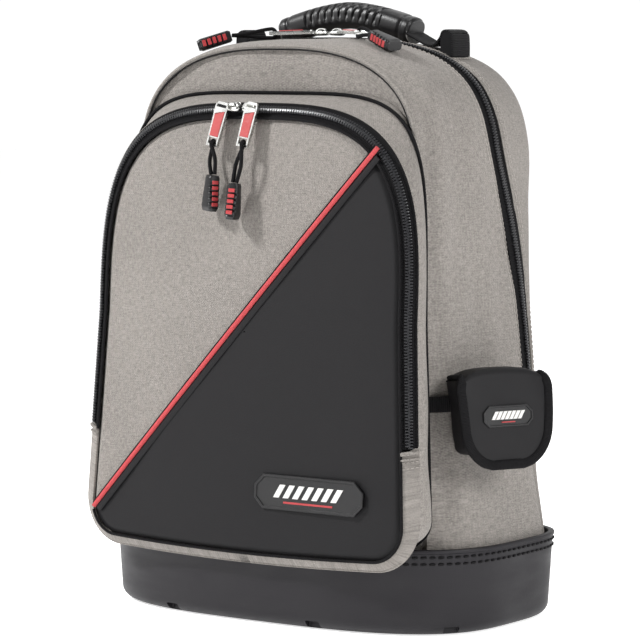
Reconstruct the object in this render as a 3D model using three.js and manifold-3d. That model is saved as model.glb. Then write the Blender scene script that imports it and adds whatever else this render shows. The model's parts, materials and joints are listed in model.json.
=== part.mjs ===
// A tool backpack with a moulded base tub, a front pocket with a diagonal face and a pouch on its right side.
// Millimetres, +Z up, the front faces -Y and +X is the right side as seen from the front.
import * as THREE from 'three';
import { mergeVertices } from 'three/addons/utils/BufferGeometryUtils.js';
import Module from 'manifold-3d';

const wasm = await Module();
wasm.setup();

// Cloth and clearances
const cloth = 2;
const gap = 0.3;

// Base tub
const tubHeight = 70;
const tubHalfWidth = 188;
const tubMiddleY = -20;
const tubFrontDepth = 120;
const tubBackDepth = 98;
const tubFrontPower = 3;
const tubBackPower = 4;
const tubWall = 3.5;
const tubFloor = 9;
const tubDraft = 4;
const tubFootRadius = 10;
const notchWidth = 13;
const notchHeight = 7;
const notchDepth = 8;
const notchPlaces = [-0.52, 0.3, 0.9];

// Main compartment
const bagTop = 475;
const bagHalfWidth = 152;
const springHeight = 372;
const clothFoot = 58;
const frontSeamY = -100;
const backSeamY = 66;
const footClearance = 1.2;
const lipRecess = 3;
const panelSeat = 0.6;
const padSeat = 0.3;
const panelCrown = 3;
const backPadThickness = 9;
const backPadCrown = 4;

// Main zip
const mainZipEnd = 165;
const mainZipHalfWidth = 9;
const zipChainHalfWidth = 2.4;
const zipChainHeight = 1.8;
const zipTapeThickness = 1;
const pocketChainLow = 0.7;

// Front pocket
const pocketTop = 424;
const pocketBottom = 54;
const pocketSag = 3;
const pocketSpring = 250;
const pocketHalfWidth = 160;
const pocketFootHalfWidth = 170;
const pocketPower = 3.3;
const pocketCorner = 40;
const pocketBackPower = 6;
const pocketBackRise = 8;
const pocketBackCorner = 24;
const bandWidth = 12.5;
const bandFootShare = 0.72;
const bandFall = 7;
const faceInset = 1.5;
const faceFootY = -153.5;
const faceLean = 0.0571;
const faceCrown = 5;
const pocketZipEnd = 152;
const pocketSideBulge = 1;

// Diagonal of the pocket face, from its low left end to its high right end
const diagonalStart = { x: -153, z: 85 };
const diagonalEnd = { x: 124, z: 390 };
const pipingWidth = 3.6;
const weltWidth = 4.5;
const weltThickness = 1;

// Badges
const badgeWidth = 106;
const badgeHeight = 28;
const badgeThickness = 2.2;
const badgeCentre = { x: 69, z: 112 };
const pouchBadgeWidth = 46;
const pouchBadgeHeight = 17;

// Carry handle
const handleY = 7;
const gripHalfLength = 66;
const gripTop = 506;
const gripHeight = 22.5;
const gripDepth = 27;
const gripDrop = 14;
const handleWebbingWidth = 27;
const gripBend = 1.6;
const blockInner = 98;
const blockOuter = 110;
const blockHeight = 20;
const strapThick = 3.4;

// Shoulder straps
const strapWidth = 62;
const strapThickness = 10;
const strapStandOff = 13;
const strapWebbingWidth = 25;
const webbingThickness = 1.6;
const buckleHeight = 30;
const buckleDepth = 7;
const buckleRim = 4;
const buckleSlot = 7;
const buckleSlotDown = 22;
const webbingSplay = 20;
const webbingLap = 26;

// Zip pulls
const sliderLength = 13;
const sliderWidth = 9;
const sliderHeight = 4;
const pullerLength = 37;
const pullerWidth = 12.5;
const pullerThickness = 3;
const pullCordDiameter = 2.8;
const cordSeat = 0.8;
const rubberEndLength = 29;
const rubberEndWidth = 16;
const rubberEndDepth = 10;

// Side pouch
const pouchWidth = 88;
const pouchTop = 212;
const pouchFlapBottom = 135;
const pouchBodyBottom = 144;
const pouchDepth = 27;
const pouchTaper = 6;
const pouchRim = 3;
const pouchTurn = 26;
const pouchTilt = 6;
const pouchY = -54;
const pouchStandOff = 12.7;
const pouchBackInset = 1.2;
const flapBend = 7;
const flapCorner = 27;
const bindingWidth = 8;
const bindingThickness = 1.4;
const flapClearance = 1.6;
const sideStrapWidth = 13;
const strapHeight = 185;
const strapRearY = 26;

// Sections of the main compartment from the front seam to the back seam. depth is a share of the depth, spring of
// the half width, rise of the arch's rise, tuck of the half width (how far the foot stays inside the tub).
const bagSections = [
  { depth: 0.0, spring: 0.908, rise: 0.942, power: 2.6, tuck: 0.066, flare: 1.0 },
  { depth: 0.048, spring: 0.934, rise: 0.971, power: 2.7, tuck: 0.01, flare: 1.3 },
  { depth: 0.12, spring: 0.954, rise: 0.99, power: 2.8, tuck: 0.0, flare: 1.6 },
  { depth: 0.271, spring: 0.98, rise: 1.0, power: 2.9, tuck: 0.0, flare: 1.8 },
  { depth: 0.482, spring: 1.0, rise: 1.0, power: 3.0, tuck: 0.0, flare: 1.9 },
  { depth: 0.65, spring: 1.0, rise: 0.985, power: 3.0, tuck: 0.0, flare: 1.9 },
  { depth: 0.855, spring: 0.99, rise: 0.955, power: 3.0, tuck: 0.0, flare: 1.9 },
  { depth: 0.946, spring: 0.947, rise: 0.874, power: 2.9, tuck: 0.0, flare: 1.9 },
  { depth: 1.0, spring: 0.868, rise: 0.777, power: 2.8, tuck: 0.02, flare: 1.9 },
];

// The main zip: height is a share from its low end to the top, depth a share of the bag's depth.
const mainZipRoute = [
  { height: 0.0, depth: 0.819 },
  { height: 0.12, depth: 0.819 },
  { height: 0.3, depth: 0.795 },
  { height: 0.435, depth: 0.753 },
  { height: 0.571, depth: 0.681 },
  { height: 0.706, depth: 0.584 },
  { height: 0.813, depth: 0.542 },
  { height: 0.948, depth: 0.506 },
  { height: 0.977, depth: 0.47 },
  { height: 1.0, depth: 0.458 },
];

// The tub's wall from the floor edge to the rim: inward is a share of the foot radius, height of the tub's height.
const tubWallRows = [
  { inward: 1.0, height: 0.0 },
  { inward: 0.42, height: 0.018 },
  { inward: 0.12, height: 0.07 },
  { inward: 0.0, height: 0.15 },
  { inward: 0.0, height: 0.55 },
  { inward: 0.0, height: 1.0 },
];

// The shoulder straps: order runs from the top anchor (0) to the low end (1), height is a share of the bag's top,
// out of the half width, back of the strap's stand-off from the back pad, width of the strap's width.
const strapRows = [
  { order: 0.0, height: 0.93, out: 0.3, back: 0.0, width: 0.8 },
  { order: 0.15, height: 0.905, out: 0.36, back: 0.62, width: 0.9 },
  { order: 0.3, height: 0.86, out: 0.4, back: 0.9, width: 1.0 },
  { order: 0.5, height: 0.77, out: 0.43, back: 1.0, width: 1.0 },
  { order: 0.7, height: 0.64, out: 0.45, back: 1.0, width: 0.96 },
  { order: 0.86, height: 0.51, out: 0.46, back: 0.95, width: 0.9 },
  { order: 1.0, height: 0.4, out: 0.47, back: 0.8, width: 0.78 },
];

const finishes = {
  greyCloth: { color: '#9d9792', roughness: 0.9, metalness: 0 },
  blackCloth: { color: '#2d2b2e', roughness: 0.62, metalness: 0 },
  padCloth: { color: '#29282a', roughness: 0.95, metalness: 0 },
  webbing: { color: '#1d1c1e', roughness: 0.85, metalness: 0 },
  zipTape: { color: '#19181a', roughness: 0.8, metalness: 0 },
  zipCoil: { color: '#121113', roughness: 0.45, metalness: 0 },
  tubPlastic: { color: '#38363b', roughness: 0.5, metalness: 0 },
  gripRubber: { color: '#222124', roughness: 0.6, metalness: 0 },
  redPiping: { color: '#c2484a', roughness: 0.6, metalness: 0 },
  pullMetal: { color: '#c9c9c6', roughness: 0.25, metalness: 1 },
  pullInsert: { color: '#cf5a58', roughness: 0.4, metalness: 0 },
  badgeRubber: { color: '#1b1a1c', roughness: 0.5, metalness: 0 },
};

const backpack = new THREE.Group();

function addPiece(name, geometry, finish, parent = backpack) {
  const mesh = new THREE.Mesh(geometry, new THREE.MeshStandardMaterial(finishes[finish]));
  mesh.name = name;
  parent.add(mesh);
  return mesh;
}

// General numbers

function mix(from, to, share) {
  return from + (to - from) * share;
}

function clamp(value, low, high) {
  return Math.min(high, Math.max(low, value));
}

function radians(degrees) {
  return degrees * Math.PI / 180;
}

function signedPower(value, power) {
  return Math.sign(value) * Math.abs(value) ** power;
}

function point(x, y, z) {
  return new THREE.Vector3(x, y, z);
}

function evenly(from, to, steps) {
  return Array.from({ length: steps + 1 }, (_, index) => mix(from, to, index / steps));
}

// Reads one column of a table at a place between its rows, on a smooth curve through them.
function readColumn(rows, place, column, value) {
  let row = 0;
  while (row < rows.length - 2 && value > rows[row + 1][place]) {
    row += 1;
  }
  const slope = (a, b) => (rows[b][column] - rows[a][column]) / (rows[b][place] - rows[a][place]);
  const slopeAt = (index) => {
    const before = Math.max(index - 1, 0);
    const after = Math.min(index + 1, rows.length - 1);
    return slope(before, after);
  };
  const width = rows[row + 1][place] - rows[row][place];
  const t = clamp((value - rows[row][place]) / width, 0, 1);
  const startBend = t * (1 - t) ** 2 * slopeAt(row) * width;
  const endBend = t * t * (t - 1) * slopeAt(row + 1) * width;
  const ease = t * t * (3 - 2 * t);
  return mix(rows[row][column], rows[row + 1][column], ease) + startBend + endBend;
}

// Solids from points

function signedVolume(positions, triangles) {
  let volume = 0;
  for (let i = 0; i < triangles.length; i += 3) {
    const [a, b, c] = [0, 1, 2].map((k) => positions[triangles[i + k]]);
    volume += a.dot(b.clone().cross(c)) / 6;
  }
  return volume;
}

function closedBody(positions, triangles) {
  const facing = signedVolume(positions, triangles) > 0;
  const ordered = [];
  for (let i = 0; i < triangles.length; i += 3) {
    const [a, b, c] = triangles.slice(i, i + 3);
    ordered.push(a, facing ? b : c, facing ? c : b);
  }
  const geometry = new THREE.BufferGeometry();
  geometry.setAttribute('position', new THREE.Float32BufferAttribute(positions.flatMap((p) => p.toArray()), 3));
  geometry.setIndex(ordered);
  return geometry;
}

// Joins closed rings of points into one body, with both ends capped unless the rings close on themselves.
function loft(rings, endless = false) {
  const count = rings[0].length;
  const positions = rings.flat();
  const triangles = [];
  const joins = endless ? rings.length : rings.length - 1;
  for (let ring = 0; ring < joins; ring += 1) {
    const next = (ring + 1) % rings.length;
    for (let k = 0; k < count; k += 1) {
      const a = ring * count + k;
      const b = ring * count + (k + 1) % count;
      const c = next * count + (k + 1) % count;
      const d = next * count + k;
      triangles.push(a, b, c, a, c, d);
    }
  }
  if (!endless) {
    for (const [ring, forward] of [[0, false], [rings.length - 1, true]]) {
      const centre = positions.length;
      const sum = rings[ring].reduce((total, p) => total.add(p), point(0, 0, 0));
      positions.push(sum.divideScalar(count));
      for (let k = 0; k < count; k += 1) {
        const a = ring * count + k;
        const b = ring * count + (k + 1) % count;
        triangles.push(centre, forward ? a : b, forward ? b : a);
      }
    }
  }
  return closedBody(positions, triangles);
}

// A sheet of cloth over a grid of places, with its wall on the side away from the outer face.
function shell(us, vs, pointAt, wall, endless = false) {
  const outer = us.map((u) => vs.map((v) => pointAt(u, v)));
  const count = us.length;
  const inner = outer.map((line, i) => line.map((p, j) => {
    const before = endless ? (i + count - 1) % count : Math.max(i - 1, 0);
    const after = endless ? (i + 1) % count : Math.min(i + 1, count - 1);
    const along = outer[after][j].clone().sub(outer[before][j]);
    const across = line[Math.min(j + 1, vs.length - 1)].clone().sub(line[Math.max(j - 1, 0)]);
    return p.clone().addScaledVector(along.cross(across).normalize(), -wall);
  }));
  const rings = outer.map((line, i) => [...line, ...inner[i].slice().reverse()]);
  return loft(rings, endless);
}

// A panel inside an outline, crowned between its edge and its middle. frontAt and backAt give y from x, z and reach.
function panel(outline, reaches, frontAt, backAt) {
  const middle = point(0, 0, (Math.max(...outline.map((p) => p.z)) + Math.min(...outline.map((p) => p.z))) / 2);
  const positions = [];
  const triangles = [];
  const count = outline.length;
  const faces = [frontAt, backAt].map((yAt) => {
    const centre = positions.length;
    positions.push(point(0, yAt(0, middle.z, 0), middle.z));
    for (const reach of reaches) {
      for (const p of outline) {
        const x = p.x * reach;
        const z = mix(middle.z, p.z, reach);
        positions.push(point(x, yAt(x, z, reach), z));
      }
    }
    return centre;
  });
  faces.forEach((centre, side) => {
    const add = (a, b, c) => triangles.push(a, side ? c : b, side ? b : c);
    for (let k = 0; k < count; k += 1) {
      const next = (k + 1) % count;
      add(centre, centre + 1 + k, centre + 1 + next);
      for (let ring = 1; ring < reaches.length; ring += 1) {
        const low = centre + 1 + (ring - 1) * count;
        const high = low + count;
        add(low + k, high + k, high + next);
        add(low + k, high + next, low + next);
      }
    }
  });
  const rims = faces.map((centre) => centre + 1 + (reaches.length - 1) * count);
  for (let k = 0; k < count; k += 1) {
    const next = (k + 1) % count;
    triangles.push(rims[0] + k, rims[1] + k, rims[1] + next, rims[0] + k, rims[1] + next, rims[0] + next);
  }
  return closedBody(positions, triangles);
}

// Frames along a run of points: the direction along it, the outward normal and the direction across.
function framesAlong(points, normals) {
  return points.map((p, index) => {
    const before = points[Math.max(index - 1, 0)];
    const after = points[Math.min(index + 1, points.length - 1)];
    const along = after.clone().sub(before).normalize();
    const across = along.clone().cross(normals[index]).normalize();
    return { place: p, across, normal: across.clone().cross(along).normalize() };
  });
}

// Sweeps a flat section along frames. A section point has its reach across and its lift along the normal.
function sweep(frames, sectionAt) {
  return loft(frames.map((frame, index) => sectionAt(index / (frames.length - 1)).map(({ across, lift }) => frame.place
    .clone().addScaledVector(frame.across, across).addScaledVector(frame.normal, lift))));
}

// A flat section that is width wide, from low to high, with its upper edges taken off by bevel.
function flatSection(width, low, high, bevel = 0) {
  const half = width / 2;
  if (bevel === 0) {
    return [{ across: -half, lift: low }, { across: half, lift: low }, { across: half, lift: high },
      { across: -half, lift: high }];
  }
  return [{ across: -half, lift: low }, { across: half, lift: low }, { across: half, lift: high - bevel },
    { across: half - bevel, lift: high }, { across: -half + bevel, lift: high }, { across: -half, lift: high - bevel }];
}

// A rounded section with given half sizes, round for a power of 2 and boxy above it.
function roundedSection(halfWidth, halfHeight, sides, power = 2, lift = 0) {
  return Array.from({ length: sides }, (_, index) => {
    const angle = 2 * Math.PI * (index + 0.5) / sides;
    return {
      across: halfWidth * signedPower(Math.cos(angle), 2 / power),
      lift: lift + halfHeight * signedPower(Math.sin(angle), 2 / power),
    };
  });
}

function toManifold(geometry) {
  const bare = new THREE.BufferGeometry();
  bare.setAttribute('position', geometry.getAttribute('position'));
  bare.setIndex(geometry.getIndex());
  const merged = mergeVertices(bare, 1e-4);
  const vertProperties = new Float32Array(merged.getAttribute('position').array);
  const triVerts = new Uint32Array(merged.getIndex().array);
  return new wasm.Manifold(new wasm.Mesh({ numProp: 3, vertProperties, triVerts }));
}

function fromManifold(solid) {
  const mesh = solid.getMesh();
  const geometry = new THREE.BufferGeometry();
  geometry.setAttribute('position', new THREE.BufferAttribute(mesh.vertProperties, 3));
  geometry.setIndex(new THREE.BufferAttribute(mesh.triVerts, 1));
  return geometry;
}

function box(width, depth, height, x, y, z) {
  const geometry = new THREE.BoxGeometry(width, depth, height);
  geometry.translate(x, y, z);
  return geometry;
}

// Base tub

function tubHalfWidthAt(y, inset = 0) {
  const depth = (y < tubMiddleY ? tubFrontDepth : tubBackDepth) - inset;
  const power = y < tubMiddleY ? tubFrontPower : tubBackPower;
  const share = Math.min(1, Math.abs(y - tubMiddleY) / depth);
  return (tubHalfWidth - inset) * (1 - share ** power) ** (1 / power);
}

function tubFrontYAt(x) {
  return tubMiddleY - tubFrontDepth * (1 - Math.abs(x / tubHalfWidth) ** tubFrontPower) ** (1 / tubFrontPower);
}

function tubBackYAt(x) {
  return tubMiddleY + tubBackDepth * (1 - Math.abs(x / tubHalfWidth) ** tubBackPower) ** (1 / tubBackPower);
}

function tubRing(inward, z) {
  const sides = 48;
  return Array.from({ length: sides }, (_, index) => {
    const angle = 2 * Math.PI * index / sides;
    const front = Math.sin(angle) < 0;
    const power = 2 / (front ? tubFrontPower : tubBackPower);
    const depth = (front ? tubFrontDepth : tubBackDepth) - inward;
    const x = (tubHalfWidth - inward) * signedPower(Math.cos(angle), power);
    return point(x, tubMiddleY + depth * signedPower(Math.sin(angle), power), z);
  });
}

function buildTub() {
  const draftAt = (height) => tubDraft * (1 - height);
  const outside = tubWallRows.map(({ inward, height }) => tubRing(
    inward * tubFootRadius + draftAt(height), height * tubHeight));
  const floorShare = tubFloor / tubHeight;
  const inside = [
    tubRing(tubWall, tubHeight),
    tubRing(tubWall + draftAt(0.5), 0.5 * tubHeight),
    tubRing(tubWall + draftAt(floorShare) + tubFootRadius * 0.3, tubFloor + tubFootRadius * 0.4),
    tubRing(tubWall + draftAt(floorShare) + tubFootRadius, tubFloor),
  ];
  let solid = toManifold(loft([...outside, ...inside]));
  for (const share of notchPlaces) {
    const x = share * tubHalfWidth;
    const turn = (tubFrontYAt(x + 1) - tubFrontYAt(x - 1)) / 2;
    for (const side of [-1, 1]) {
      const y = side < 0 ? tubFrontYAt(x) : tubMiddleY + tubBackDepth;
      const cutter = new THREE.BoxGeometry(notchWidth, 2 * notchDepth, 2 * notchHeight);
      cutter.rotateZ(side < 0 ? Math.atan(turn) : 0);
      cutter.translate(side < 0 || Math.abs(share) < 0.8 ? x : 0, y + (side < 0 ? tubDraft : -tubDraft), 0);
      solid = solid.subtract(toManifold(cutter));
    }
  }
  addPiece('base_tub', fromManifold(solid), 'tubPlastic');
}

// Main compartment

const footInset = tubWall + footClearance + tubDraft * (1 - clothFoot / tubHeight);

function sectionAt(y, inset = 0) {
  const share = clamp((y - frontSeamY) / (backSeamY - frontSeamY), 0, 1);
  const column = (name) => readColumn(bagSections, 'depth', name, share);
  return {
    foot: tubHalfWidthAt(y, footInset) - bagHalfWidth * column('tuck') - inset,
    spring: bagHalfWidth * column('spring') - inset,
    rise: (bagTop - springHeight) * column('rise') - inset,
    power: column('power'),
    flare: column('flare'),
  };
}

const legShare = 0.3;

function legWidth(section, z) {
  const share = clamp((z - clothFoot) / (springHeight - clothFoot), 0, 1);
  return section.spring + (section.foot - section.spring) * (1 - share) ** section.flare;
}

// A point of the arch: t runs from the left foot (0) over the top to the right foot (1).
function archPoint(section, t) {
  const leg = Math.min(t, 1 - t);
  if (leg < legShare) {
    const z = mix(clothFoot, springHeight, leg / legShare);
    return { x: (t < 0.5 ? -1 : 1) * legWidth(section, z), z };
  }
  const angle = Math.PI * (1 - (t - legShare) / (1 - 2 * legShare));
  return {
    x: section.spring * signedPower(Math.cos(angle), 2 / section.power),
    z: springHeight + section.rise * Math.abs(Math.sin(angle)) ** (2 / section.power),
  };
}

function bagPoint(t, y) {
  const { x, z } = archPoint(sectionAt(y), t);
  return point(x, y, z);
}

function bagNormal(t, y) {
  const along = bagPoint(t + 0.004, y).sub(bagPoint(t - 0.004, y));
  const across = bagPoint(t, y + 1).sub(bagPoint(t, y - 1));
  return along.cross(across).normalize();
}

// The height of the bag's top over a place on the floor plan.
function topAt(x, y) {
  const section = sectionAt(y);
  const share = Math.min(1, Math.abs(x) / section.spring);
  return springHeight + section.rise * (1 - share ** section.power) ** (1 / section.power);
}

function zipYAt(t) {
  const { z } = archPoint(sectionAt(mix(frontSeamY, backSeamY, 0.44)), t);
  const share = clamp((z - mainZipEnd) / (bagTop - mainZipEnd), 0, 1);
  return mix(frontSeamY, backSeamY, readColumn(mainZipRoute, 'height', 'depth', share));
}

const zipEndT = legShare * (mainZipEnd - clothFoot) / (springHeight - clothFoot);
const zipStep = 0.002;

function gussetStops() {
  const leg = [0, zipEndT * 0.5, zipEndT - zipStep, zipEndT + zipStep, 0.16, 0.2, 0.25];
  const arch = evenly(legShare, 1 - legShare, 20);
  return [...leg, ...arch, ...leg.map((t) => 1 - t).reverse()];
}

function zipHalfOpening(t) {
  return Math.min(t, 1 - t) < zipEndT ? 1.5 * gap : mainZipHalfWidth + 2.5 * gap;
}

function buildGussets() {
  const stops = gussetStops();
  addPiece('gusset_front', shell(stops, [0, 0.06, 0.15, 0.4, 0.7, 1], (t, share) => (
    bagPoint(t, mix(frontSeamY, zipYAt(t) - zipHalfOpening(t), share))), cloth), 'greyCloth');
  addPiece('gusset_back', shell(stops, [0, 0.4, 0.7, 0.86, 0.95, 1], (t, share) => (
    bagPoint(t, mix(zipYAt(t) + zipHalfOpening(t), backSeamY, share))), cloth), 'greyCloth');
}

function buildMainZip() {
  const stops = gussetStops().filter((t) => Math.min(t, 1 - t) > zipEndT);
  const tapeTop = -gap;
  addPiece('main_zip_tape', shell(stops, [-1, 0, 1], (t, share) => {
    const y = zipYAt(t) + share * mainZipHalfWidth;
    return bagPoint(t, y).addScaledVector(bagNormal(t, y), tapeTop);
  }, zipTapeThickness), 'zipTape');
  const chainLow = tapeTop + 2 * gap;
  const frames = framesAlong(stops.map((t) => bagPoint(t, zipYAt(t))), stops.map((t) => bagNormal(t, zipYAt(t))));
  addPiece('main_zip_chain', sweep(frames, () => flatSection(
    2 * zipChainHalfWidth, chainLow, chainLow + zipChainHeight, zipChainHeight / 2)), 'zipCoil');
}

// The outline of an end panel, inside the gusset near one of its seams.
function archOutline(y) {
  const section = sectionAt(y, cloth + gap);
  const outline = gussetStops().map((t) => archPoint(section, t));
  const foot = outline[outline.length - 1].x;
  return [...outline, ...[0.6, 0.2, -0.2, -0.6].map((share) => ({ x: foot * share, z: clothFoot }))];
}

function buildPanels() {
  const crownAt = (reach) => 1 - reach ** 2;
  const frontY = frontSeamY + lipRecess;
  const frontAt = (x, z, reach) => frontY - panelCrown * crownAt(reach);
  addPiece('front_panel', panel(archOutline(frontSeamY + panelSeat), [0.4, 0.75, 1], frontAt,
    (x, z, reach) => frontAt(x, z, reach) + cloth), 'greyCloth');
  const padFrontY = backSeamY - backPadThickness;
  const aboveTub = (z) => z > tubHeight + cloth;
  addPiece('back_panel', panel(archOutline(backSeamY - padSeat), [0.4, 0.75, 0.93, 1], () => padFrontY,
    (x, z, reach) => (reach < 1 && aboveTub(z) ? backSeamY + backPadCrown * crownAt(reach) : backSeamY - cloth)),
  'padCloth');
}

// Front pocket

function faceY(x, z) {
  return faceFootY + faceLean * (z - pocketBottom) + faceCrown * (x / pocketFootHalfWidth) ** 2;
}

// A point of the pocket's outline. q runs from the middle of the bottom (0) up the left side to the top (4) and down
// the right side to the middle of the bottom (8): whole numbers are where the bottom, the corner, the side and the
// arch meet.
function pocketOutlinePoint(q, { foot, spring, top, bottom, corner, power, sag = 0 }) {
  const side = q <= 4 ? -1 : 1;
  const place = q <= 4 ? q : 8 - q;
  const sideAt = (z) => mix(foot, spring, (z - bottom) / (pocketSpring - bottom));
  const cornerX = sideAt(bottom + corner) - corner;
  if (place <= 1) {
    return { x: side * cornerX * place, z: bottom - sag * (1 - place ** 2) };
  }
  if (place <= 2) {
    const angle = Math.PI / 2 * (place - 1);
    return { x: side * (cornerX + corner * Math.sin(angle)), z: bottom + corner * (1 - Math.cos(angle)) };
  }
  if (place <= 3) {
    const z = mix(bottom + corner, pocketSpring, place - 2);
    return { x: side * sideAt(z), z };
  }
  const angle = Math.PI / 2 * (place - 3);
  return {
    x: side * spring * signedPower(Math.cos(angle), 2 / power),
    z: pocketSpring + (top - pocketSpring) * Math.sin(angle) ** (2 / power),
  };
}

const pocketRim = {
  foot: pocketFootHalfWidth,
  spring: pocketHalfWidth,
  top: pocketTop,
  bottom: pocketBottom,
  corner: pocketCorner,
  power: pocketPower,
  sag: pocketSag,
};

function pocketInset(inset) {
  return {
    foot: pocketRim.foot - inset,
    spring: pocketRim.spring - inset,
    top: pocketRim.top - inset,
    bottom: pocketRim.bottom + inset * bandFootShare,
    corner: pocketRim.corner - inset,
    power: pocketRim.power,
    sag: pocketRim.sag,
  };
}

function pocketBackOutline() {
  const seam = sectionAt(frontSeamY);
  return {
    foot: legWidth(seam, tubHeight),
    spring: legWidth(seam, pocketSpring),
    top: pocketTop + pocketBackRise,
    bottom: tubHeight + 2 * gap,
    corner: pocketBackCorner,
    power: pocketBackPower,
  };
}

// The band between the face (0) and the rim (1).
function bandPoint(q, share) {
  const inner = pocketOutlinePoint(q, pocketInset(bandWidth));
  const outer = pocketOutlinePoint(q, pocketRim);
  const x = mix(inner.x, outer.x, share);
  const z = mix(inner.z, outer.z, share);
  return point(x, faceY(x, z) + bandFall * share ** 1.5, z);
}

// The wall between the rim (0) and the front of the bag (1). The bottom climbs over the tub's rim at once.
function pocketWallPoint(q, share) {
  const rim = bandPoint(q, 1);
  const back = pocketOutlinePoint(q, pocketBackOutline());
  const climb = q < 2 || q > 6 ? clamp(share / 0.1, 0, 1) : share ** 1.6;
  const x = mix(rim.x, back.x, share ** 2.2) + Math.sign(rim.x) * pocketSideBulge * Math.sin(Math.PI * share)
    * Math.min(1, Math.abs(rim.x) / pocketHalfWidth);
  return point(x, mix(rim.y, frontSeamY - gap, share), mix(rim.z, back.z, climb));
}

const pocketZipQ = 2 + (pocketZipEnd - pocketBottom - pocketCorner) / (pocketSpring - pocketBottom - pocketCorner);
const pocketStep = 0.01;

function pocketStops() {
  const half = [0, 0.5, 1, 1.25, 1.5, 1.75, 2, 2.2, pocketZipQ - pocketStep, pocketZipQ + pocketStep, 2.7, 3,
    ...evenly(3, 4, 9).slice(1)];
  return [...half, ...half.slice(1, -1).map((q) => 8 - q).reverse()];
}

function besideZip(q) {
  return q > pocketZipQ && q < 8 - pocketZipQ;
}

function buildPocketWall() {
  const wallStart = 1;
  const places = [0, 0.5, wallStart, 1.1, 1.35, 1.7, 2];
  const wallPoint = (q, place) => {
    if (place > wallStart) {
      return pocketWallPoint(q, place - wallStart);
    }
    const low = besideZip(q) ? 1 - 0.02 * (wallStart - place) : place;
    return bandPoint(q, low);
  };
  addPiece('pocket_gusset', shell(pocketStops(), places, wallPoint, cloth, true), 'greyCloth');
}

function faceGeometry() {
  const outline = pocketStops().map((q) => pocketOutlinePoint(q, pocketInset(bandWidth + faceInset)));
  return panel(outline, [0.35, 0.7, 1], (x, z) => faceY(x, z), (x, z) => faceY(x, z) + cloth);
}

// A long block on one side of the diagonal: side 1 is above it, side -1 below it.
function diagonalBlock(side, clearance) {
  const run = Math.atan2(diagonalEnd.z - diagonalStart.z, diagonalEnd.x - diagonalStart.x);
  const size = 4 * pocketTop;
  const block = new THREE.BoxGeometry(size, size, size);
  block.translate(0, 0, side * (size / 2 + clearance));
  block.rotateY(-run);
  block.translate(diagonalStart.x, 0, diagonalStart.z);
  return toManifold(block);
}

function buildPocketFace() {
  const face = toManifold(faceGeometry());
  addPiece('pocket_face_grey', fromManifold(face.intersect(diagonalBlock(1, gap / 2))), 'greyCloth');
  addPiece('pocket_face_black', fromManifold(face.intersect(diagonalBlock(-1, gap / 2))), 'blackCloth');
}

function diagonalFrames(offset, lift, trim) {
  const run = Math.atan2(diagonalEnd.z - diagonalStart.z, diagonalEnd.x - diagonalStart.x);
  const places = evenly(trim, 1 - trim, 12).map((share) => {
    const x = mix(diagonalStart.x, diagonalEnd.x, share) + offset * Math.sin(run);
    const z = mix(diagonalStart.z, diagonalEnd.z, share) - offset * Math.cos(run);
    return point(x, faceY(x, z) - lift, z);
  });
  return framesAlong(places, places.map(() => point(0, -1, 0)));
}

function buildDiagonal() {
  const radius = pipingWidth / 2;
  addPiece('pocket_piping', sweep(diagonalFrames(0, radius + gap, 0.002), () => (
    roundedSection(radius, radius, 8))), 'redPiping');
  const weltOffset = radius + gap + weltWidth / 2;
  addPiece('pocket_welt', sweep(diagonalFrames(weltOffset, gap, 0.025), () => (
    flatSection(weltWidth, 0, weltThickness))), 'blackCloth');
}

function bandAlong(q) {
  return bandPoint(q + pocketStep, 0.5).sub(bandPoint(q - pocketStep, 0.5));
}

function bandNormal(q) {
  return bandAlong(q).cross(bandPoint(q, 0.75).sub(bandPoint(q, 0.25))).normalize();
}

function buildPocketZip() {
  const half = [...evenly(pocketZipQ + pocketStep * 2, 3, 4), ...evenly(3, 4, 9).slice(1)];
  const stops = [...half, ...half.slice(0, -1).map((q) => 8 - q).reverse()];
  addPiece('pocket_zip_tape', shell(stops, [0, 0.5, 1], (q, place) => (
    bandPoint(q, mix(0.03, 0.95, place))), zipTapeThickness), 'zipTape');
  const frames = framesAlong(stops.map((q) => bandPoint(q, 0.5)), stops.map(bandNormal));
  addPiece('pocket_zip_chain', sweep(frames, () => flatSection(
    2 * zipChainHalfWidth, pocketChainLow, pocketChainLow + zipChainHeight, zipChainHeight / 2)), 'zipCoil');
}

function badgeOutline(width, height) {
  const corner = height * 0.3;
  const half = { x: width / 2, z: height / 2 };
  return [[1, 1, -corner, 0], [1, 1, 0, -corner], [1, -1, 0, corner], [1, -1, -corner, 0], [-1, -1, corner, 0],
    [-1, -1, 0, corner], [-1, 1, 0, -corner], [-1, 1, corner, 0]].map(([sx, sz, dx, dz]) => (
    { x: sx * half.x + dx, z: sz * half.z + dz }));
}

function buildBadge() {
  const outline = badgeOutline(badgeWidth, badgeHeight);
  const lift = gap + 0.5;
  const geometry = panel(outline, [0.5, 1],
    (x, z) => faceY(x + badgeCentre.x, z + badgeCentre.z) - lift - badgeThickness,
    (x, z) => faceY(x + badgeCentre.x, z + badgeCentre.z) - lift);
  geometry.translate(badgeCentre.x, 0, badgeCentre.z);
  addPiece('pocket_badge', geometry, 'badgeRubber');
}

// Carry handle

// How far the grip's end faces lean, as travel along X per millimetre of height.
const gripEndSlant = gripDrop * gripBend / gripHalfLength;

function gripCentreAt(x) {
  return gripTop - gripHeight / 2 - gripDrop * Math.abs(x / gripHalfLength) ** gripBend;
}

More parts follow.
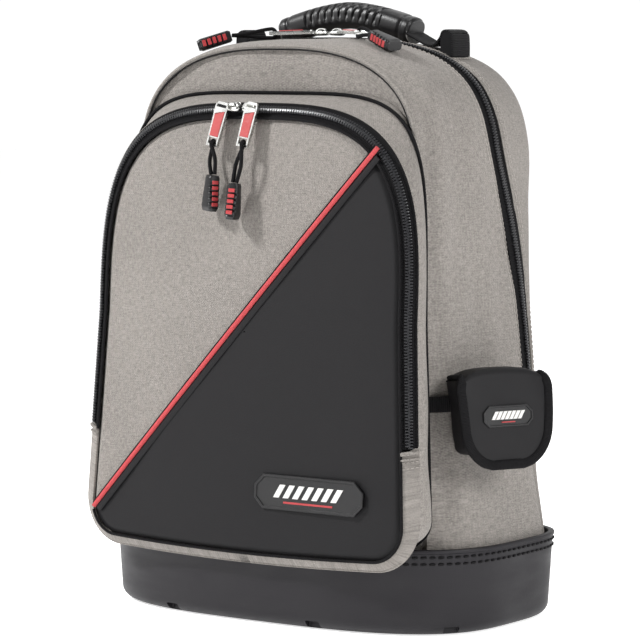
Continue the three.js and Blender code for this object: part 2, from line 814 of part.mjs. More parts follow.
function buildHandle() {
  const stops = evenly(-gripHalfLength, gripHalfLength, 14);
  const points = stops.map((x) => point(x, handleY, gripCentreAt(x)));
  addPiece('handle_grip', sweep(framesAlong(points, points.map(() => point(0, 0, 1))), (share) => {
    const size = Math.abs(share - 0.5) > 0.49 ? 0.78 : 1;
    return roundedSection(gripDepth / 2 * size, gripHeight / 2 * size, 12, 2.6);
  }), 'gripRubber');
  for (const side of [-1, 1]) {
    const flatZ = gripCentreAt(gripHalfLength);
    const clothAt = (x) => topAt(x, handleY) + 1;
    const blockTop = clothAt(blockInner) + blockHeight - 3;
    const onCloth = (x, thick) => ({ x, low: clothAt(x), high: clothAt(x) + thick });
    const between = (share) => mix(gripHalfLength, blockInner, share);
    const rows = [
      { x: gripHalfLength + 1.3 * gap, low: flatZ - 4, high: flatZ + 1, slant: gripEndSlant },
      onCloth(between(0.3), strapThick + 1),
      onCloth(between(0.55), strapThick),
      onCloth(between(0.8), strapThick + 2),
      onCloth(blockInner - 1, blockHeight * 0.6),
      { x: blockInner, low: clothAt(blockInner), high: blockTop - 1 },
      { x: blockInner + 2, low: clothAt(blockInner + 2), high: blockTop },
      { x: blockOuter - 2, low: clothAt(blockOuter - 2), high: blockTop },
      { x: blockOuter, low: clothAt(blockOuter), high: blockTop - 4 },
    ];
    const half = handleWebbingWidth / 2;
    const rings = rows.map(({ x, low, high, slant = 0 }) => {
      const lowX = side * (x + slant * (low - flatZ));
      const highX = side * (x + slant * (high - flatZ));
      return [point(lowX, handleY - half, low), point(lowX, handleY + half, low), point(highX, handleY + half, high),
        point(highX, handleY - half, high)];
    });
    addPiece(`handle_strap_${side < 0 ? 'left' : 'right'}`, loft(rings), 'webbing');
  }
}

// Shoulder straps

function strapPlace(order, side) {
  const column = (name) => readColumn(strapRows, 'order', name, order);
  return { z: bagTop * column('height'), x: side * bagHalfWidth * column('out'), back: column('back'),
    width: strapWidth * column('width') };
}

function buildStraps() {
  const padBack = backSeamY + backPadCrown;
  for (const side of [-1, 1]) {
    const name = side < 0 ? 'left' : 'right';
    const places = evenly(0, 1, 12).map((share) => strapPlace(share, side));
    const flatY = padBack + gap + strapThickness / 2;
    const points = places.map(({ x, z, back }) => point(x, flatY + strapStandOff * back, z));
    const frames = framesAlong(points, points.map(() => point(0, 1, 0)));
    addPiece(`shoulder_pad_${name}`, sweep(frames, (share) => {
      const { width } = strapPlace(share, side);
      return roundedSection(width / 2, strapThickness / 2, 10, 3);
    }), 'padCloth');
    const end = points[points.length - 1];
    const buckleTop = end.z - 1.1;
    const slotZ = buckleTop - buckleSlotDown;
    const frame = toManifold(box(strapWebbingWidth + 2 * buckleRim, buckleDepth, buckleHeight, end.x, end.y,
      buckleTop - buckleHeight / 2));
    const slot = toManifold(box(strapWebbingWidth + 2, 2 * buckleDepth, buckleSlot, end.x, end.y, slotZ));
    addPiece(`strap_buckle_${name}`, fromManifold(frame.subtract(slot)), 'gripRubber');
    const frontOfBuckle = end.y - buckleDepth / 2 - 1.4 * webbingThickness;
    const innerEdge = Math.abs(end.x) + webbingSplay - strapWebbingWidth / 2;
    const behindTub = tubBackYAt(innerEdge) + webbingThickness / 2 + gap;
    const fallTo = (share) => mix(slotZ, tubHeight, share);
    const run = [
      point(end.x, end.y + 0.3 * buckleDepth, slotZ + 0.2 * buckleSlot),
      point(end.x, end.y - 0.3 * buckleDepth, slotZ + 0.3 * buckleSlot),
      point(end.x, frontOfBuckle, slotZ),
      point(end.x, frontOfBuckle, fallTo(0.1)),
      point(end.x + side * webbingSplay * 0.2, mix(frontOfBuckle, behindTub, 0.2), fallTo(0.3)),
      point(end.x + side * webbingSplay * 0.7, mix(frontOfBuckle, behindTub, 0.6), fallTo(0.68)),
      point(end.x + side * webbingSplay, behindTub, tubHeight - webbingLap * 0.3),
      point(end.x + side * webbingSplay, behindTub, tubHeight - webbingLap),
    ];
    const curve = new THREE.CatmullRomCurve3(run);
    const webbing = curve.getPoints(12);
    addPiece(`strap_webbing_${name}`, sweep(framesAlong(webbing, webbing.map(() => point(0, 1, 0))), () => (
      flatSection(strapWebbingWidth, -webbingThickness / 2, webbingThickness / 2))), 'webbing');
  }
}

// Zip pulls

// A group whose X runs along a piece, whose Z is the outward normal and whose origin is the piece's start.
function frameGroup(start, along, normal) {
  const x = along.clone().normalize();
  const y = normal.clone().cross(x).normalize();
  const z = x.clone().cross(y);
  const group = new THREE.Group();
  group.position.copy(start);
  group.quaternion.setFromRotationMatrix(new THREE.Matrix4().makeBasis(x, y, z));
  backpack.add(group);
  return group;
}

// Lofts sections along X. Each row has its place along, half width, half height and middle height.
function loftAlongX(rows, sides, power) {
  return loft(rows.map(({ along, half, tall, lift = 0 }) => (
    roundedSection(half, tall, sides, power, lift).map(({ across, lift: high }) => point(along, across, high)))));
}

function sliderGeometry() {
  const half = sliderLength / 2;
  const width = sliderWidth / 2;
  const tall = sliderHeight / 2;
  return loftAlongX([
    { along: -half, half: width * 0.55, tall: tall * 0.6 },
    { along: -half * 0.6, half: width, tall },
    { along: half * 0.55, half: width * 0.9, tall: tall * sliderBulge },
    { along: half, half: width * 0.5, tall: tall * 0.6 },
  ], 8, 3);
}

const eyeLength = 5.4;
const eyeWidth = 7;
const pullerBar = 1.8;
const insertStart = 7.5;
const insertSlant = 3.5;
const insertWidth = 8.6;
const insertRise = 0.7;

function pullerGeometry() {
  const half = pullerWidth / 2;
  const outline = new THREE.Shape([[0, -half * 0.75], [3, -half], [pullerLength, -half * 0.8],
    [pullerLength, half * 0.8], [3, half], [0, half * 0.75]].map(([x, y]) => new THREE.Vector2(x, y)));
  const hole = (from, to, width, slant = 0) => new THREE.Path([[from + slant, -width / 2], [to, -width / 2],
    [to, width / 2], [from, width / 2]].map(([x, y]) => new THREE.Vector2(x, y)));
  const eyeEnd = pullerLength - pullerBar;
  outline.holes.push(hole(2, 5.5, half));
  outline.holes.push(hole(insertStart, eyeEnd - eyeLength - pullerBar, insertWidth + 2 * gap, insertSlant));
  outline.holes.push(hole(eyeEnd - eyeLength, eyeEnd, eyeWidth));
  const geometry = new THREE.ExtrudeGeometry(outline, { depth: pullerThickness, bevelEnabled: false });
  geometry.translate(0, 0, -pullerThickness / 2);
  return geometry;
}

function insertGeometry() {
  const half = insertWidth / 2;
  const end = pullerLength - eyeLength - 2 * pullerBar - gap;
  const start = insertStart + 2 * gap;
  const outline = new THREE.Shape([[start + insertSlant, -half], [end, -half], [end, half], [start, half]]
    .map(([x, y]) => new THREE.Vector2(x, y)));
  const geometry = new THREE.ExtrudeGeometry(outline, { depth: pullerThickness, bevelEnabled: false });
  geometry.translate(0, 0, -pullerThickness / 2 + insertRise);
  return geometry;
}

function rubberEndGeometry() {
  const half = rubberEndWidth / 2;
  const tall = rubberEndDepth / 2;
  return loftAlongX([
    { along: 0, half: half * 0.62, tall: tall * 0.8 },
    { along: rubberEndLength * 0.07, half: half * 0.72, tall },
    { along: rubberEndLength * 0.85, half, tall },
    { along: rubberEndLength, half: half * 0.88, tall: tall * 0.8 },
  ], 8, 4);
}

// One side of the cord loop, from the rubber end (share 0) to the puller's end (share 1) and on past it to the
// middle of the eye. The other side is its mirror.
const cordLoopRoute = [
  { share: 0.0, past: 0.0, across: 1.8, lift: 0.0 },
  { share: 0.2, past: 0.0, across: 2.5, lift: 0.4 },
  { share: 0.5, past: 0.0, across: 3.6, lift: 1.4 },
  { share: 0.8, past: 0.0, across: 3.1, lift: 3.0 },
  { share: 1.0, past: 0.0, across: 1.9, lift: 3.6 },
  { share: 1.0, past: 2.7, across: 1.0, lift: 3.4 },
  { share: 1.0, past: 4.9, across: 0.0, lift: 0.0 },
];

function offsetIn({ along, normal }, place, forward, across, lift) {
  const side = along.clone().cross(normal);
  return place.clone().addScaledVector(along, forward).addScaledVector(side, across).addScaledVector(normal, lift);
}

// The loop's points: out of the rubber end square to its face, along the leg and through the eye square to the bar.
function cordRoute(end, puller) {
  const leg = puller.place.clone().sub(end.place);
  const along = leg.clone().normalize();
  const side = along.clone().cross(puller.normal).normalize();
  const legFrame = { along, normal: side.clone().cross(along) };
  const pointsOn = (sign) => cordLoopRoute.map(({ share, past, across, lift }) => {
    if (share === 0) {
      return offsetIn({ along: end.along, normal: puller.normal }, end.place, -cordSeat, -sign * across, sign * lift);
    }
    if (share === 1) {
      return offsetIn(puller, puller.place, -past, -sign * across, sign * lift);
    }
    return offsetIn(legFrame, end.place, share * leg.length(), sign * across, sign * lift);
  });
  return [...pointsOn(1), ...pointsOn(-1).slice(0, -1).reverse()];
}

function cordGeometry(route) {
  const radius = pullCordDiameter / 2;
  const circle = new THREE.Shape(Array.from({ length: 8 }, (_, index) => {
    const angle = 2 * Math.PI * index / 8;
    return new THREE.Vector2(radius * Math.cos(angle), radius * Math.sin(angle));
  }));
  const curve = new THREE.CatmullRomCurve3(route, false, 'centripetal');
  const steps = Math.ceil(curve.getLength() / (pullCordDiameter * 1.65));
  return new THREE.ExtrudeGeometry(circle, { steps, bevelEnabled: false, extrudePath: curve });
}

// Each pull: its slider's place along X, then the start and end of its puller and the start and tip of its rubber
// end, each as [aside of the slider, down the face or forward on the top, lift off the cloth], and the turn of the
// rubber end about its own length, in degrees.
const pulls = [
  { name: 'pocket_left', x: -17, onBag: false, start: [-6.9, 0, 6.5], pullerEnd: [-14.3, 37.5, 11.6],
    end: [-11, 59, 12.8], tip: [-14, 89, 12.1], turn: 25 },
  { name: 'pocket_right', x: -1, onBag: false, start: [6.7, 0, 6.4], pullerEnd: [1, 37.5, 12.5],
    end: [-4, 65, 13.8], tip: [-6, 98, 12.9], turn: 76 },
  { name: 'main_left', x: -8, onBag: true, start: [-7.1, 2, 5.8], pullerEnd: [-42, 16, 5.8],
    end: [-66, 38, 8], tip: [-90, 56, 8], turn: 0 },
  { name: 'main_right', x: 8, onBag: true, start: [6.8, 2.6, 5.8], pullerEnd: [38, 22, 6.1],
    end: [64, 42, 8.2], tip: [91, 49, 8.2], turn: 0 },
];
const sliderBulge = 1.15;

function sliderPlace({ onBag, x, start }) {
  if (onBag) {
    const y = zipYAt(0.5);
    const high = zipChainHeight + sliderHeight / 2 * sliderBulge + 2 * gap;
    return { place: point(x, y, topAt(x, y) + high), along: point(Math.sign(start[0]), 0, 0), normal: point(0, 0, 1) };
  }
  const quarter = Math.acos((Math.abs(x) / (pocketHalfWidth - bandWidth / 2)) ** (pocketPower / 2)) * 2 / Math.PI;
  const q = x < 0 ? 3 + quarter : 5 - quarter;
  const along = bandAlong(q);
  const normal = bandNormal(q);
  const high = pocketChainLow + zipChainHeight + sliderHeight / 2 * sliderBulge;
  return { place: bandPoint(q, 0.5).addScaledVector(normal, high), along: along.multiplyScalar(Math.sign(start[0])),
    normal };
}

function pullPlace({ onBag, x }, [aside, down, lift]) {
  if (onBag) {
    const y = zipYAt(0.5) - down;
    return point(x + aside, y, topAt(x + aside, y) + lift);
  }
  return point(x + aside, faceY(x + aside, pocketTop - down) - lift, pocketTop - down);
}

function topNormal({ x, y }) {
  const east = point(2, 0, topAt(x + 1, y) - topAt(x - 1, y));
  const north = point(0, 2, topAt(x, y + 1) - topAt(x, y - 1));
  return east.cross(north).normalize();
}

function buildPulls() {
  for (const pull of pulls) {
    const slider = sliderPlace(pull);
    addPiece(`${pull.name}_slider`, sliderGeometry(), 'pullMetal', frameGroup(slider.place, slider.along, slider.normal));
    const start = pullPlace(pull, pull.start);
    const along = pullPlace(pull, pull.pullerEnd).sub(start).normalize();
    const normalAt = (place) => (pull.onBag ? topNormal(place) : point(0, -1, 0));
    const holder = frameGroup(start, along, normalAt(start));
    addPiece(`${pull.name}_puller`, pullerGeometry(), 'pullMetal', holder);
    addPiece(`${pull.name}_insert`, insertGeometry(), 'pullInsert', holder);
    const normal = point(0, 0, 1).applyQuaternion(holder.quaternion);
    const puller = { place: start.clone().addScaledVector(along, pullerLength), along, normal };
    const low = pullPlace(pull, pull.end);
    const tip = pullPlace(pull, pull.tip);
    const end = { place: low, along: tip.clone().sub(low).normalize() };
    addPiece(`${pull.name}_cord`, cordGeometry(cordRoute(end, puller)), 'webbing');
    const endGroup = frameGroup(low, end.along, normalAt(tip));
    endGroup.rotateX(radians(pull.turn));
    addPiece(`${pull.name}_end`, rubberEndGeometry(), 'gripRubber', endGroup);
  }
}

// Side pouch, in its own frame: X across it, -Y outward, Z up, with the origin in the middle of its back

const pouchMiddle = (pouchTop + pouchFlapBottom) / 2;
const pouchRise = pouchTop - pouchMiddle;
const pouchFoot = pouchFlapBottom - pouchMiddle;

// Half the flap's width at a height: it narrows towards its foot and ends in round corners.
function flapHalf(z) {
  const taper = pouchTaper * clamp((pouchRise - z) / (pouchRise - pouchFoot), 0, 1);
  const share = clamp((pouchFoot + flapCorner - z) / flapCorner, 0, 1);
  return pouchWidth / 2 - taper - flapCorner * (1 - Math.sqrt(1 - (share * 0.98) ** 2));
}

function pouchSection(inset, z) {
  const taper = pouchTaper * clamp((pouchRise - z) / (pouchRise - pouchFoot), 0, 1);
  const half = pouchWidth / 2 - pouchRim - taper - inset;
  return roundedSection(half, pouchDepth / 2 - pouchBackInset - inset, 20, 5).map(({ across, lift }) => (
    point(across, lift - pouchDepth / 2, z)));
}

function buildPouch() {
  const turned = new THREE.Group();
  const side = legWidth(sectionAt(pouchY), pouchMiddle);
  turned.position.set(side + pouchStandOff, pouchY, pouchMiddle);
  turned.rotation.z = radians(90 - pouchTurn);
  const pouch = new THREE.Group();
  pouch.rotation.x = radians(-pouchTilt);
  turned.add(pouch);
  backpack.add(turned);
  turned.updateMatrixWorld(true);
  const tiltReach = sideStrapWidth / 2 * Math.sin(radians(pouchTilt));
  const strapOut = webbingThickness / 2 + 1.3 * gap + tiltReach - pouchBackInset;
  buildPouchStrap((x) => point(x, strapOut, strapHeight - pouchMiddle).applyMatrix4(pouch.matrixWorld));
  const low = pouchBodyBottom - pouchMiddle;
  const high = pouchRise - cloth - flapClearance;
  addPiece('pouch_body', loft([pouchSection(5, low), pouchSection(1.5, low + 2), pouchSection(0, low + 7),
    pouchSection(0, high), pouchSection(cloth, high), pouchSection(cloth, low + 8),
    pouchSection(cloth + 4, low + cloth + 1),
  ]), 'blackCloth', pouch);
  buildFlap(pouch);
}

function buildFlap(pouch) {
  const front = -pouchDepth - gap - cloth;
  const fold = pouchRise - flapBend;
  const route = [
    { y: -1.5, z: pouchRise },
    { y: -flapBend, z: pouchRise },
    { y: front + flapBend, z: pouchRise },
    { y: front + flapBend * 0.3, z: pouchRise - flapBend * 0.3 },
    { y: front, z: fold },
    ...[0.8, 0.6, 0.45, 0.3, 0.2, 0.1, 0.04, 0].map((share) => ({ y: front, z: mix(pouchFoot, fold, share) })),
  ];
  addPiece('pouch_flap', shell(route.map((_, index) => index), [-1, -0.5, 0, 0.5, 1], (index, share) => (
    point(share * flapHalf(route[index].z), route[index].y, route[index].z)), cloth), 'blackCloth', pouch);
  const inset = bindingWidth / 2;
  const side = [0.96, 0.7, 0.5].map((share) => {
    const z = mix(pouchFoot, fold, share);
    return point(inset - flapHalf(z), front - gap, z);
  });
  const cornerX = flapCorner - flapHalf(pouchFoot + flapCorner);
  const corner = evenly(0, 90, 5).map((angle) => point(
    cornerX - (flapCorner - inset) * Math.cos(radians(angle)),
    front - gap,
    pouchFoot + flapCorner - (flapCorner - inset) * Math.sin(radians(angle))));
  const edge = [...side, ...corner];
  const whole = [...edge, ...edge.map((p) => point(-p.x, p.y, p.z)).reverse()];
  addPiece('pouch_binding', sweep(framesAlong(whole, whole.map(() => point(0, -1, 0))), () => (
    flatSection(bindingWidth, 0, bindingThickness, 0.5))), 'webbing', pouch);
  const badge = panel(badgeOutline(pouchBadgeWidth, pouchBadgeHeight), [1], () => front - gap - badgeThickness / 2,
    () => front - gap);
  addPiece('pouch_badge', badge, 'badgeRubber', pouch);
}

// The webbing that carries the pouch: out of the front seam, behind the pouch and back to the side of the bag.
function buildPouchStrap(behindPouch) {
  const onSide = (y) => point(legWidth(sectionAt(y), strapHeight - sideStrapWidth / 2) + 1.5 * webbingThickness, y,
    strapHeight);
  const reach = pouchWidth / 2;
  const run = [onSide(frontSeamY + 1), onSide(frontSeamY + 7), onSide(frontSeamY + 14), behindPouch(-0.7 * reach),
    behindPouch(0), behindPouch(0.7 * reach), behindPouch(reach), onSide(strapRearY - 12), onSide(strapRearY)];
  const places = new THREE.CatmullRomCurve3(run, false, 'centripetal').getPoints(24);
  places.forEach((p) => p.setZ(strapHeight));
  const normals = places.map((_, index) => {
    const before = places[Math.max(index - 1, 0)];
    const after = places[Math.min(index + 1, places.length - 1)];
    return after.clone().sub(before).cross(point(0, 0, 1)).normalize();
  });
  addPiece('pouch_strap', sweep(framesAlong(places, normals), () => (
    flatSection(sideStrapWidth, -webbingThickness / 2, webbingThickness / 2))), 'webbing');
}

buildTub();
buildGussets();
buildMainZip();
buildPanels();
buildPocketWall();
buildPocketFace();
buildDiagonal();
buildPocketZip();
buildBadge();
buildHandle();
buildStraps();
buildPulls();
buildPouch();

export default backpack;
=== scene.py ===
"""A tool backpack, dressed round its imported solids.

The classes hold sizes in millimetres and meshes are made in metres. +X is the right side as seen from
the front, -Y is the front and +Z is up, with the origin on the floor under the middle of the bag.
"""
import json
import logging
import math
from dataclasses import dataclass
from enum import Enum
from functools import lru_cache
from typing import Callable, NamedTuple, Optional, Sequence

import bmesh
import bpy
import numpy as np
from mathutils import Matrix, Vector, noise

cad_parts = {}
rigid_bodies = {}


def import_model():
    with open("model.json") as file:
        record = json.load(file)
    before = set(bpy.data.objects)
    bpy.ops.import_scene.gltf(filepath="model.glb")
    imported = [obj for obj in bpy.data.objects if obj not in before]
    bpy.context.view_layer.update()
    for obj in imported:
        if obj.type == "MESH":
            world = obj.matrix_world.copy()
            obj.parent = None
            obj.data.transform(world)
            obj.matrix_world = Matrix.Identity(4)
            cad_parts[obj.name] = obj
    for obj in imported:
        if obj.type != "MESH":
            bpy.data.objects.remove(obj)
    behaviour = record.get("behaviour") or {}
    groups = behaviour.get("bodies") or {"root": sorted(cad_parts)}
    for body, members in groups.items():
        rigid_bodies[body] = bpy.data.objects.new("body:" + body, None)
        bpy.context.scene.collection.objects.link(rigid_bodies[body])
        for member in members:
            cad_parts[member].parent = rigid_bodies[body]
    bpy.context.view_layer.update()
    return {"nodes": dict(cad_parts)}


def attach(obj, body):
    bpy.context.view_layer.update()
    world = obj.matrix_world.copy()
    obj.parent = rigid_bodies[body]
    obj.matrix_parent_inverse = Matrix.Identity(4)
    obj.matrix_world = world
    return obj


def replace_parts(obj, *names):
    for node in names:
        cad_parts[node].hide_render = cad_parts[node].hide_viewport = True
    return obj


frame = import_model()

log = logging.getLogger("backpack")
MM = 0.001
Vec = np.ndarray
Section = list[tuple[float, float]]
Place = tuple[float, float, float]
Piece = bpy.types.Object
Tree = bpy.types.NodeTree
Node = bpy.types.Node
Socket = bpy.types.NodeSocket


# Numbers and directions


def mix(start: float, end: float, share: float) -> float:
    """Returns the value a share of the way from start to end."""
    return start + (end - start) * share


def clamp(value: float, low: float = 0.0, high: float = 1.0) -> float:
    """Returns the value held between low and high."""
    return min(high, max(low, value))


def smooth(value: float, low: float, high: float) -> float:
    """Returns an eased step from 0 at low to 1 at high."""
    share = clamp((value - low) / (high - low))
    return share * share * (3 - 2 * share)


def bell(value: float, middle: float, width: float) -> float:
    """Returns a bell curve of height 1 round a middle."""
    return math.exp(-((value - middle) / width) ** 2)


def signed_power(value: float, power: float) -> float:
    """Returns the power of a number's size, with its sign."""
    return math.copysign(abs(value) ** power, value)


def point(x: float, y: float, z: float) -> Vec:
    """Returns a point or direction."""
    return np.array((x, y, z), dtype=float)


def unit(vector: Vec) -> Vec:
    """Returns the direction of a vector."""
    return vector / max(float(np.linalg.norm(vector)), 1e-9)


def evenly(start: float, end: float, steps: int) -> list[float]:
    """Returns steps + 1 even values from start to end."""
    return [mix(start, end, index / steps) for index in range(steps + 1)]


def ripple(x: float, y: float, z: float, scale: float) -> float:
    """Returns a smooth unevenness between about -1 and 1, with waves about scale millimetres long."""
    return noise.noise(Vector((x, y, z)) / scale)


def read_column(rows: Sequence[NamedTuple], place: str, column: str, value: float) -> float:
    """Reads one column of a table between its rows, on a smooth curve through them.

    Args:
        rows: the table, in rising order of its place column.
        place: name of the column that value belongs to.
        column: name of the column to read.
        value: where to read.

    Returns:
        The column's value there.
    """
    row = 0
    while row < len(rows) - 2 and value > getattr(rows[row + 1], place):
        row += 1

    def slope(index: int) -> float:
        """Returns the curve's slope at a row."""
        before, after = rows[max(index - 1, 0)], rows[min(index + 1, len(rows) - 1)]
        rise = getattr(after, column) - getattr(before, column)
        return rise / (getattr(after, place) - getattr(before, place))

    low, high = rows[row], rows[row + 1]
    width = getattr(high, place) - getattr(low, place)
    t = clamp((value - getattr(low, place)) / width)
    bend = t * (1 - t) ** 2 * slope(row) * width + t * t * (t - 1) * slope(row + 1) * width
    return mix(getattr(low, column), getattr(high, column), t * t * (3 - 2 * t)) + bend


# Meshes


@dataclass(frozen=True)
class Placing:
    """A frame of its own: an origin and three directions."""

    origin: Vec
    x: Vec
    y: Vec
    z: Vec

    def at(self, points: Vec) -> Vec:
        """Returns local points in the bag's frame."""
        return self.origin + np.asarray(points, dtype=float) @ np.array((self.x, self.y, self.z))

    @staticmethod
    def along(origin: Vec, along: Vec, normal: Vec) -> "Placing":
        """Returns a frame whose X runs along a piece and whose Z is its outward normal."""
        x = unit(along)
        y = unit(np.cross(normal, x))
        return Placing(origin, x, y, np.cross(x, y))

    def turned(self, degrees: float) -> "Placing":
        """Returns this frame turned about its own X."""
        c, s = math.cos(math.radians(degrees)), math.sin(math.radians(degrees))
        return Placing(self.origin, self.x, self.y * c + self.z * s, self.z * c - self.y * s)


class Shape:
    """Gathers closed bodies in millimetres and turns them into one Blender piece."""

    def __init__(self) -> None:
        """Starts with nothing in it."""
        self.points: list[Vec] = []
        self.uvs: list[Vec] = []
        self.faces: list[tuple[int, ...]] = []
        self.count = 0

    def add(self, points: Vec, faces: Sequence[Sequence[int]], uvs: Optional[Vec] = None) -> None:
        """Adds one body.

        Args:
            points: its corners.
            faces: for each face the numbers of its corners, counted from 0.
            uvs: a cloth coordinate in metres for each point; without them it is X and Z.
        """
        points = np.asarray(points, dtype=float).reshape(-1, 3)
        flat = points[:, [0, 2]] * MM if uvs is None else np.asarray(uvs).reshape(-1, 2)
        self.points.append(points)
        self.uvs.append(flat)
        start = self.count
        self.faces.extend(tuple(start + corner for corner in face) for face in faces)
        self.count += len(points)

    def add_sheet(self, grid: Vec, wall: float, closed: bool = False) -> None:
        """Adds a sheet of cloth over a grid of points, with its wall on the side away from the outer face.

        Args:
            grid: points by row and column, of shape (rows, columns, 3).
            wall: thickness.
            closed: whether the last row meets the first one.
        """
        grid = np.asarray(grid, dtype=float)
        rows, columns = grid.shape[:2]
        run = np.concatenate((grid[-1:], grid, grid[:1])) if closed else grid
        along = np.gradient(run, axis=0)
        along = along[1:-1] if closed else along
        normals = np.cross(along, np.gradient(grid, axis=1))
        normals /= np.maximum(np.linalg.norm(normals, axis=2, keepdims=True), 1e-9)
        inner = grid - normals * wall
        middle_row, middle_column = grid[rows // 2], grid[:, columns // 2]
        us = np.concatenate(([0.0], np.cumsum(np.linalg.norm(np.diff(middle_column, axis=0), axis=1))))
        vs = np.concatenate(([0.0], np.cumsum(np.linalg.norm(np.diff(middle_row, axis=0), axis=1))))
        uvs = np.stack(np.meshgrid(us, vs, indexing="ij"), axis=2) * MM
        size = rows * columns
        faces = []
        joins = rows if closed else rows - 1
        for i in range(joins):
            a, b = i * columns, (i + 1) % rows * columns
            for j in range(columns - 1):
                faces.append((a + j, b + j, b + j + 1, a + j + 1))
                faces.append((size + a + j + 1, size + b + j + 1, size + b + j, size + a + j))
            last = columns - 1
            faces.append((a, size + a, size + b, b))
            faces.append((b + last, size + b + last, size + a + last, a + last))
        if not closed:
            end = (rows - 1) * columns
            for j in range(columns - 1):
                faces.append((j + 1, size + j + 1, size + j, j))
                faces.append((end + j, size + end + j, size + end + j + 1, end + j + 1))
        self.add(np.concatenate((grid.reshape(-1, 3), inner.reshape(-1, 3))), faces,
                 np.concatenate((uvs.reshape(-1, 2), uvs.reshape(-1, 2))))

    def add_loft(self, rings: Sequence[Vec], closed: bool = False) -> None:
        """Joins rings of points into one body.

        Args:
            rings: rings with the same number of points.
            closed: whether the last ring meets the first one; otherwise both ends are capped.
        """
        rings = [np.asarray(ring, dtype=float) for ring in rings]
        count = len(rings[0])
        faces = []
        for i in range(len(rings) if closed else len(rings) - 1):
            a, b = i * count, (i + 1) % len(rings) * count
            for k in range(count):
                n = (k + 1) % count
                faces.append((a + k, a + n, b + n, b + k))
        if not closed:
            end = (len(rings) - 1) * count
            faces.append(tuple(range(count))[::-1])
            faces.append(tuple(end + k for k in range(count)))
        centres = np.array([ring.mean(axis=0) for ring in rings])
        run = np.concatenate(([0.0], np.cumsum(np.linalg.norm(np.diff(centres, axis=0), axis=1))))
        ring = np.concatenate((rings[0], rings[0][:1]))
        around = np.concatenate(([0.0], np.cumsum(np.linalg.norm(np.diff(ring, axis=0), axis=1))))[:count]
        uvs = np.stack(np.meshgrid(run, around, indexing="ij"), axis=2) * MM
        self.add(np.concatenate(rings), faces, uvs)

    def add_sweep(self, places: Sequence[Vec], normals: Sequence[Vec], section: Callable[[float], Section],
                  closed: bool = False) -> None:
        """Sweeps a section along a run.

        Args:
            places: the run's points.
            normals: an outward direction for each point.
            section: gives (across, lift) pairs for a share of the run.
            closed: whether the run closes on itself.
        """
        shares = evenly(0, 1, max(len(places) - 1, 1))
        self.add_loft([
            [placing.origin + placing.y * across + placing.z * lift for across, lift in section(share)]
            for placing, share in zip(frames_along(places, normals, closed), shares)
        ], closed)

    def add_rod(self, places: Sequence[Vec], normals: Sequence[Vec], half_width: float,
                half_height: float, sides: int = 12, power: float = 2.0) -> None:
        """Sweeps one rounded section along places with normals."""
        self.add_sweep(places, normals, lambda share: round_section(half_width, half_height, sides, power))

    def add_block(self, placing: Placing, low: Sequence[float], high: Sequence[float],
                  bevel: float = 0.0) -> None:
        """Adds a block.

        Args:
            placing: its frame.
            low: its lowest corner in that frame.
            high: its highest corner.
            bevel: how much of each edge is cut off.
        """
        x0, y0, z0 = low
        x1, y1, z1 = high
        rings = []
        for z, inset in ((z0, bevel), (z0 + bevel, 0.0), (z1 - bevel, 0.0), (z1, bevel)):
            left, right, near, far = x0 + inset, x1 - inset, y0 + inset, y1 - inset
            rings.append(placing.at([
                (left + bevel, near, z), (right - bevel, near, z),
                (right, near + bevel, z), (right, far - bevel, z),
                (right - bevel, far, z), (left + bevel, far, z),
                (left, far - bevel, z), (left, near + bevel, z)]))
        self.add_loft(rings)

    def make(self, name: str, finish: "Finish", slot: str, sharp: float = 40.0) -> Piece:
        """Makes the Blender piece.

        Args:
            name: the piece's name.
            finish: what it is made of.
            slot: the record's material slot; not used.
            sharp: faces that meet at more than this many degrees keep a hard edge.

        Returns:
            The new object, riding on the bag.
        """
        points = np.concatenate(self.points)
        uvs = np.concatenate(self.uvs)
        mesh = bpy.data.meshes.new(name)
        mesh.from_pydata((points * MM).tolist(), [], self.faces)
        layer = mesh.uv_layers.new(name="cloth")
        corners = np.empty(len(mesh.loops), dtype=np.int32)
        mesh.loops.foreach_get("vertex_index", corners)
        layer.data.foreach_set("uv", uvs[corners].astype(np.float32).ravel())
        tidy = bmesh.new()
        tidy.from_mesh(mesh)
        bmesh.ops.recalc_face_normals(tidy, faces=tidy.faces)
        tidy.to_mesh(mesh)
        tidy.free()
        mesh.polygons.foreach_set("use_smooth", [True] * len(mesh.polygons))
        mesh.set_sharp_from_angle(angle=math.radians(sharp))
        mesh.materials.append(finish.material())
        piece = bpy.data.objects.new(name, mesh)
        bpy.context.collection.objects.link(piece)
        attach(piece, "root")
        return piece


def frames_along(places: Sequence[Vec], normals: Sequence[Vec], closed: bool = False) -> list[Placing]:
    """Returns frames along a run of points.

    Args:
        places: the points.
        normals: an outward direction for each point.
        closed: whether the run closes on itself.

    Returns:
        Frames whose X runs along it, Y across it and Z outward.
    """
    count = len(places)
    frames = []
    for i, place in enumerate(places):
        before = places[(i - 1) % count] if closed else places[max(i - 1, 0)]
        after = places[(i + 1) % count] if closed else places[min(i + 1, count - 1)]
        along = unit(after - before)
        across = unit(np.cross(along, normals[i]))
        frames.append(Placing(place, along, across, unit(np.cross(across, along))))
    return frames


def directions(run: Sequence[Vec]) -> list[Vec]:
    """Returns the direction of an open run at each of its points."""
    last = len(run) - 1
    return [unit(run[min(i + 1, last)] - run[max(i - 1, 0)]) for i in range(len(run))]


def circle(centre: Vec, across: Vec, normal: Vec, radius: float, sides: int) -> list[Vec]:
    """Returns a ring of points round a centre."""
    angles = [2 * math.pi * k / sides for k in range(sides)]
    return [centre + radius * (across * math.cos(a) + normal * math.sin(a)) for a in angles]


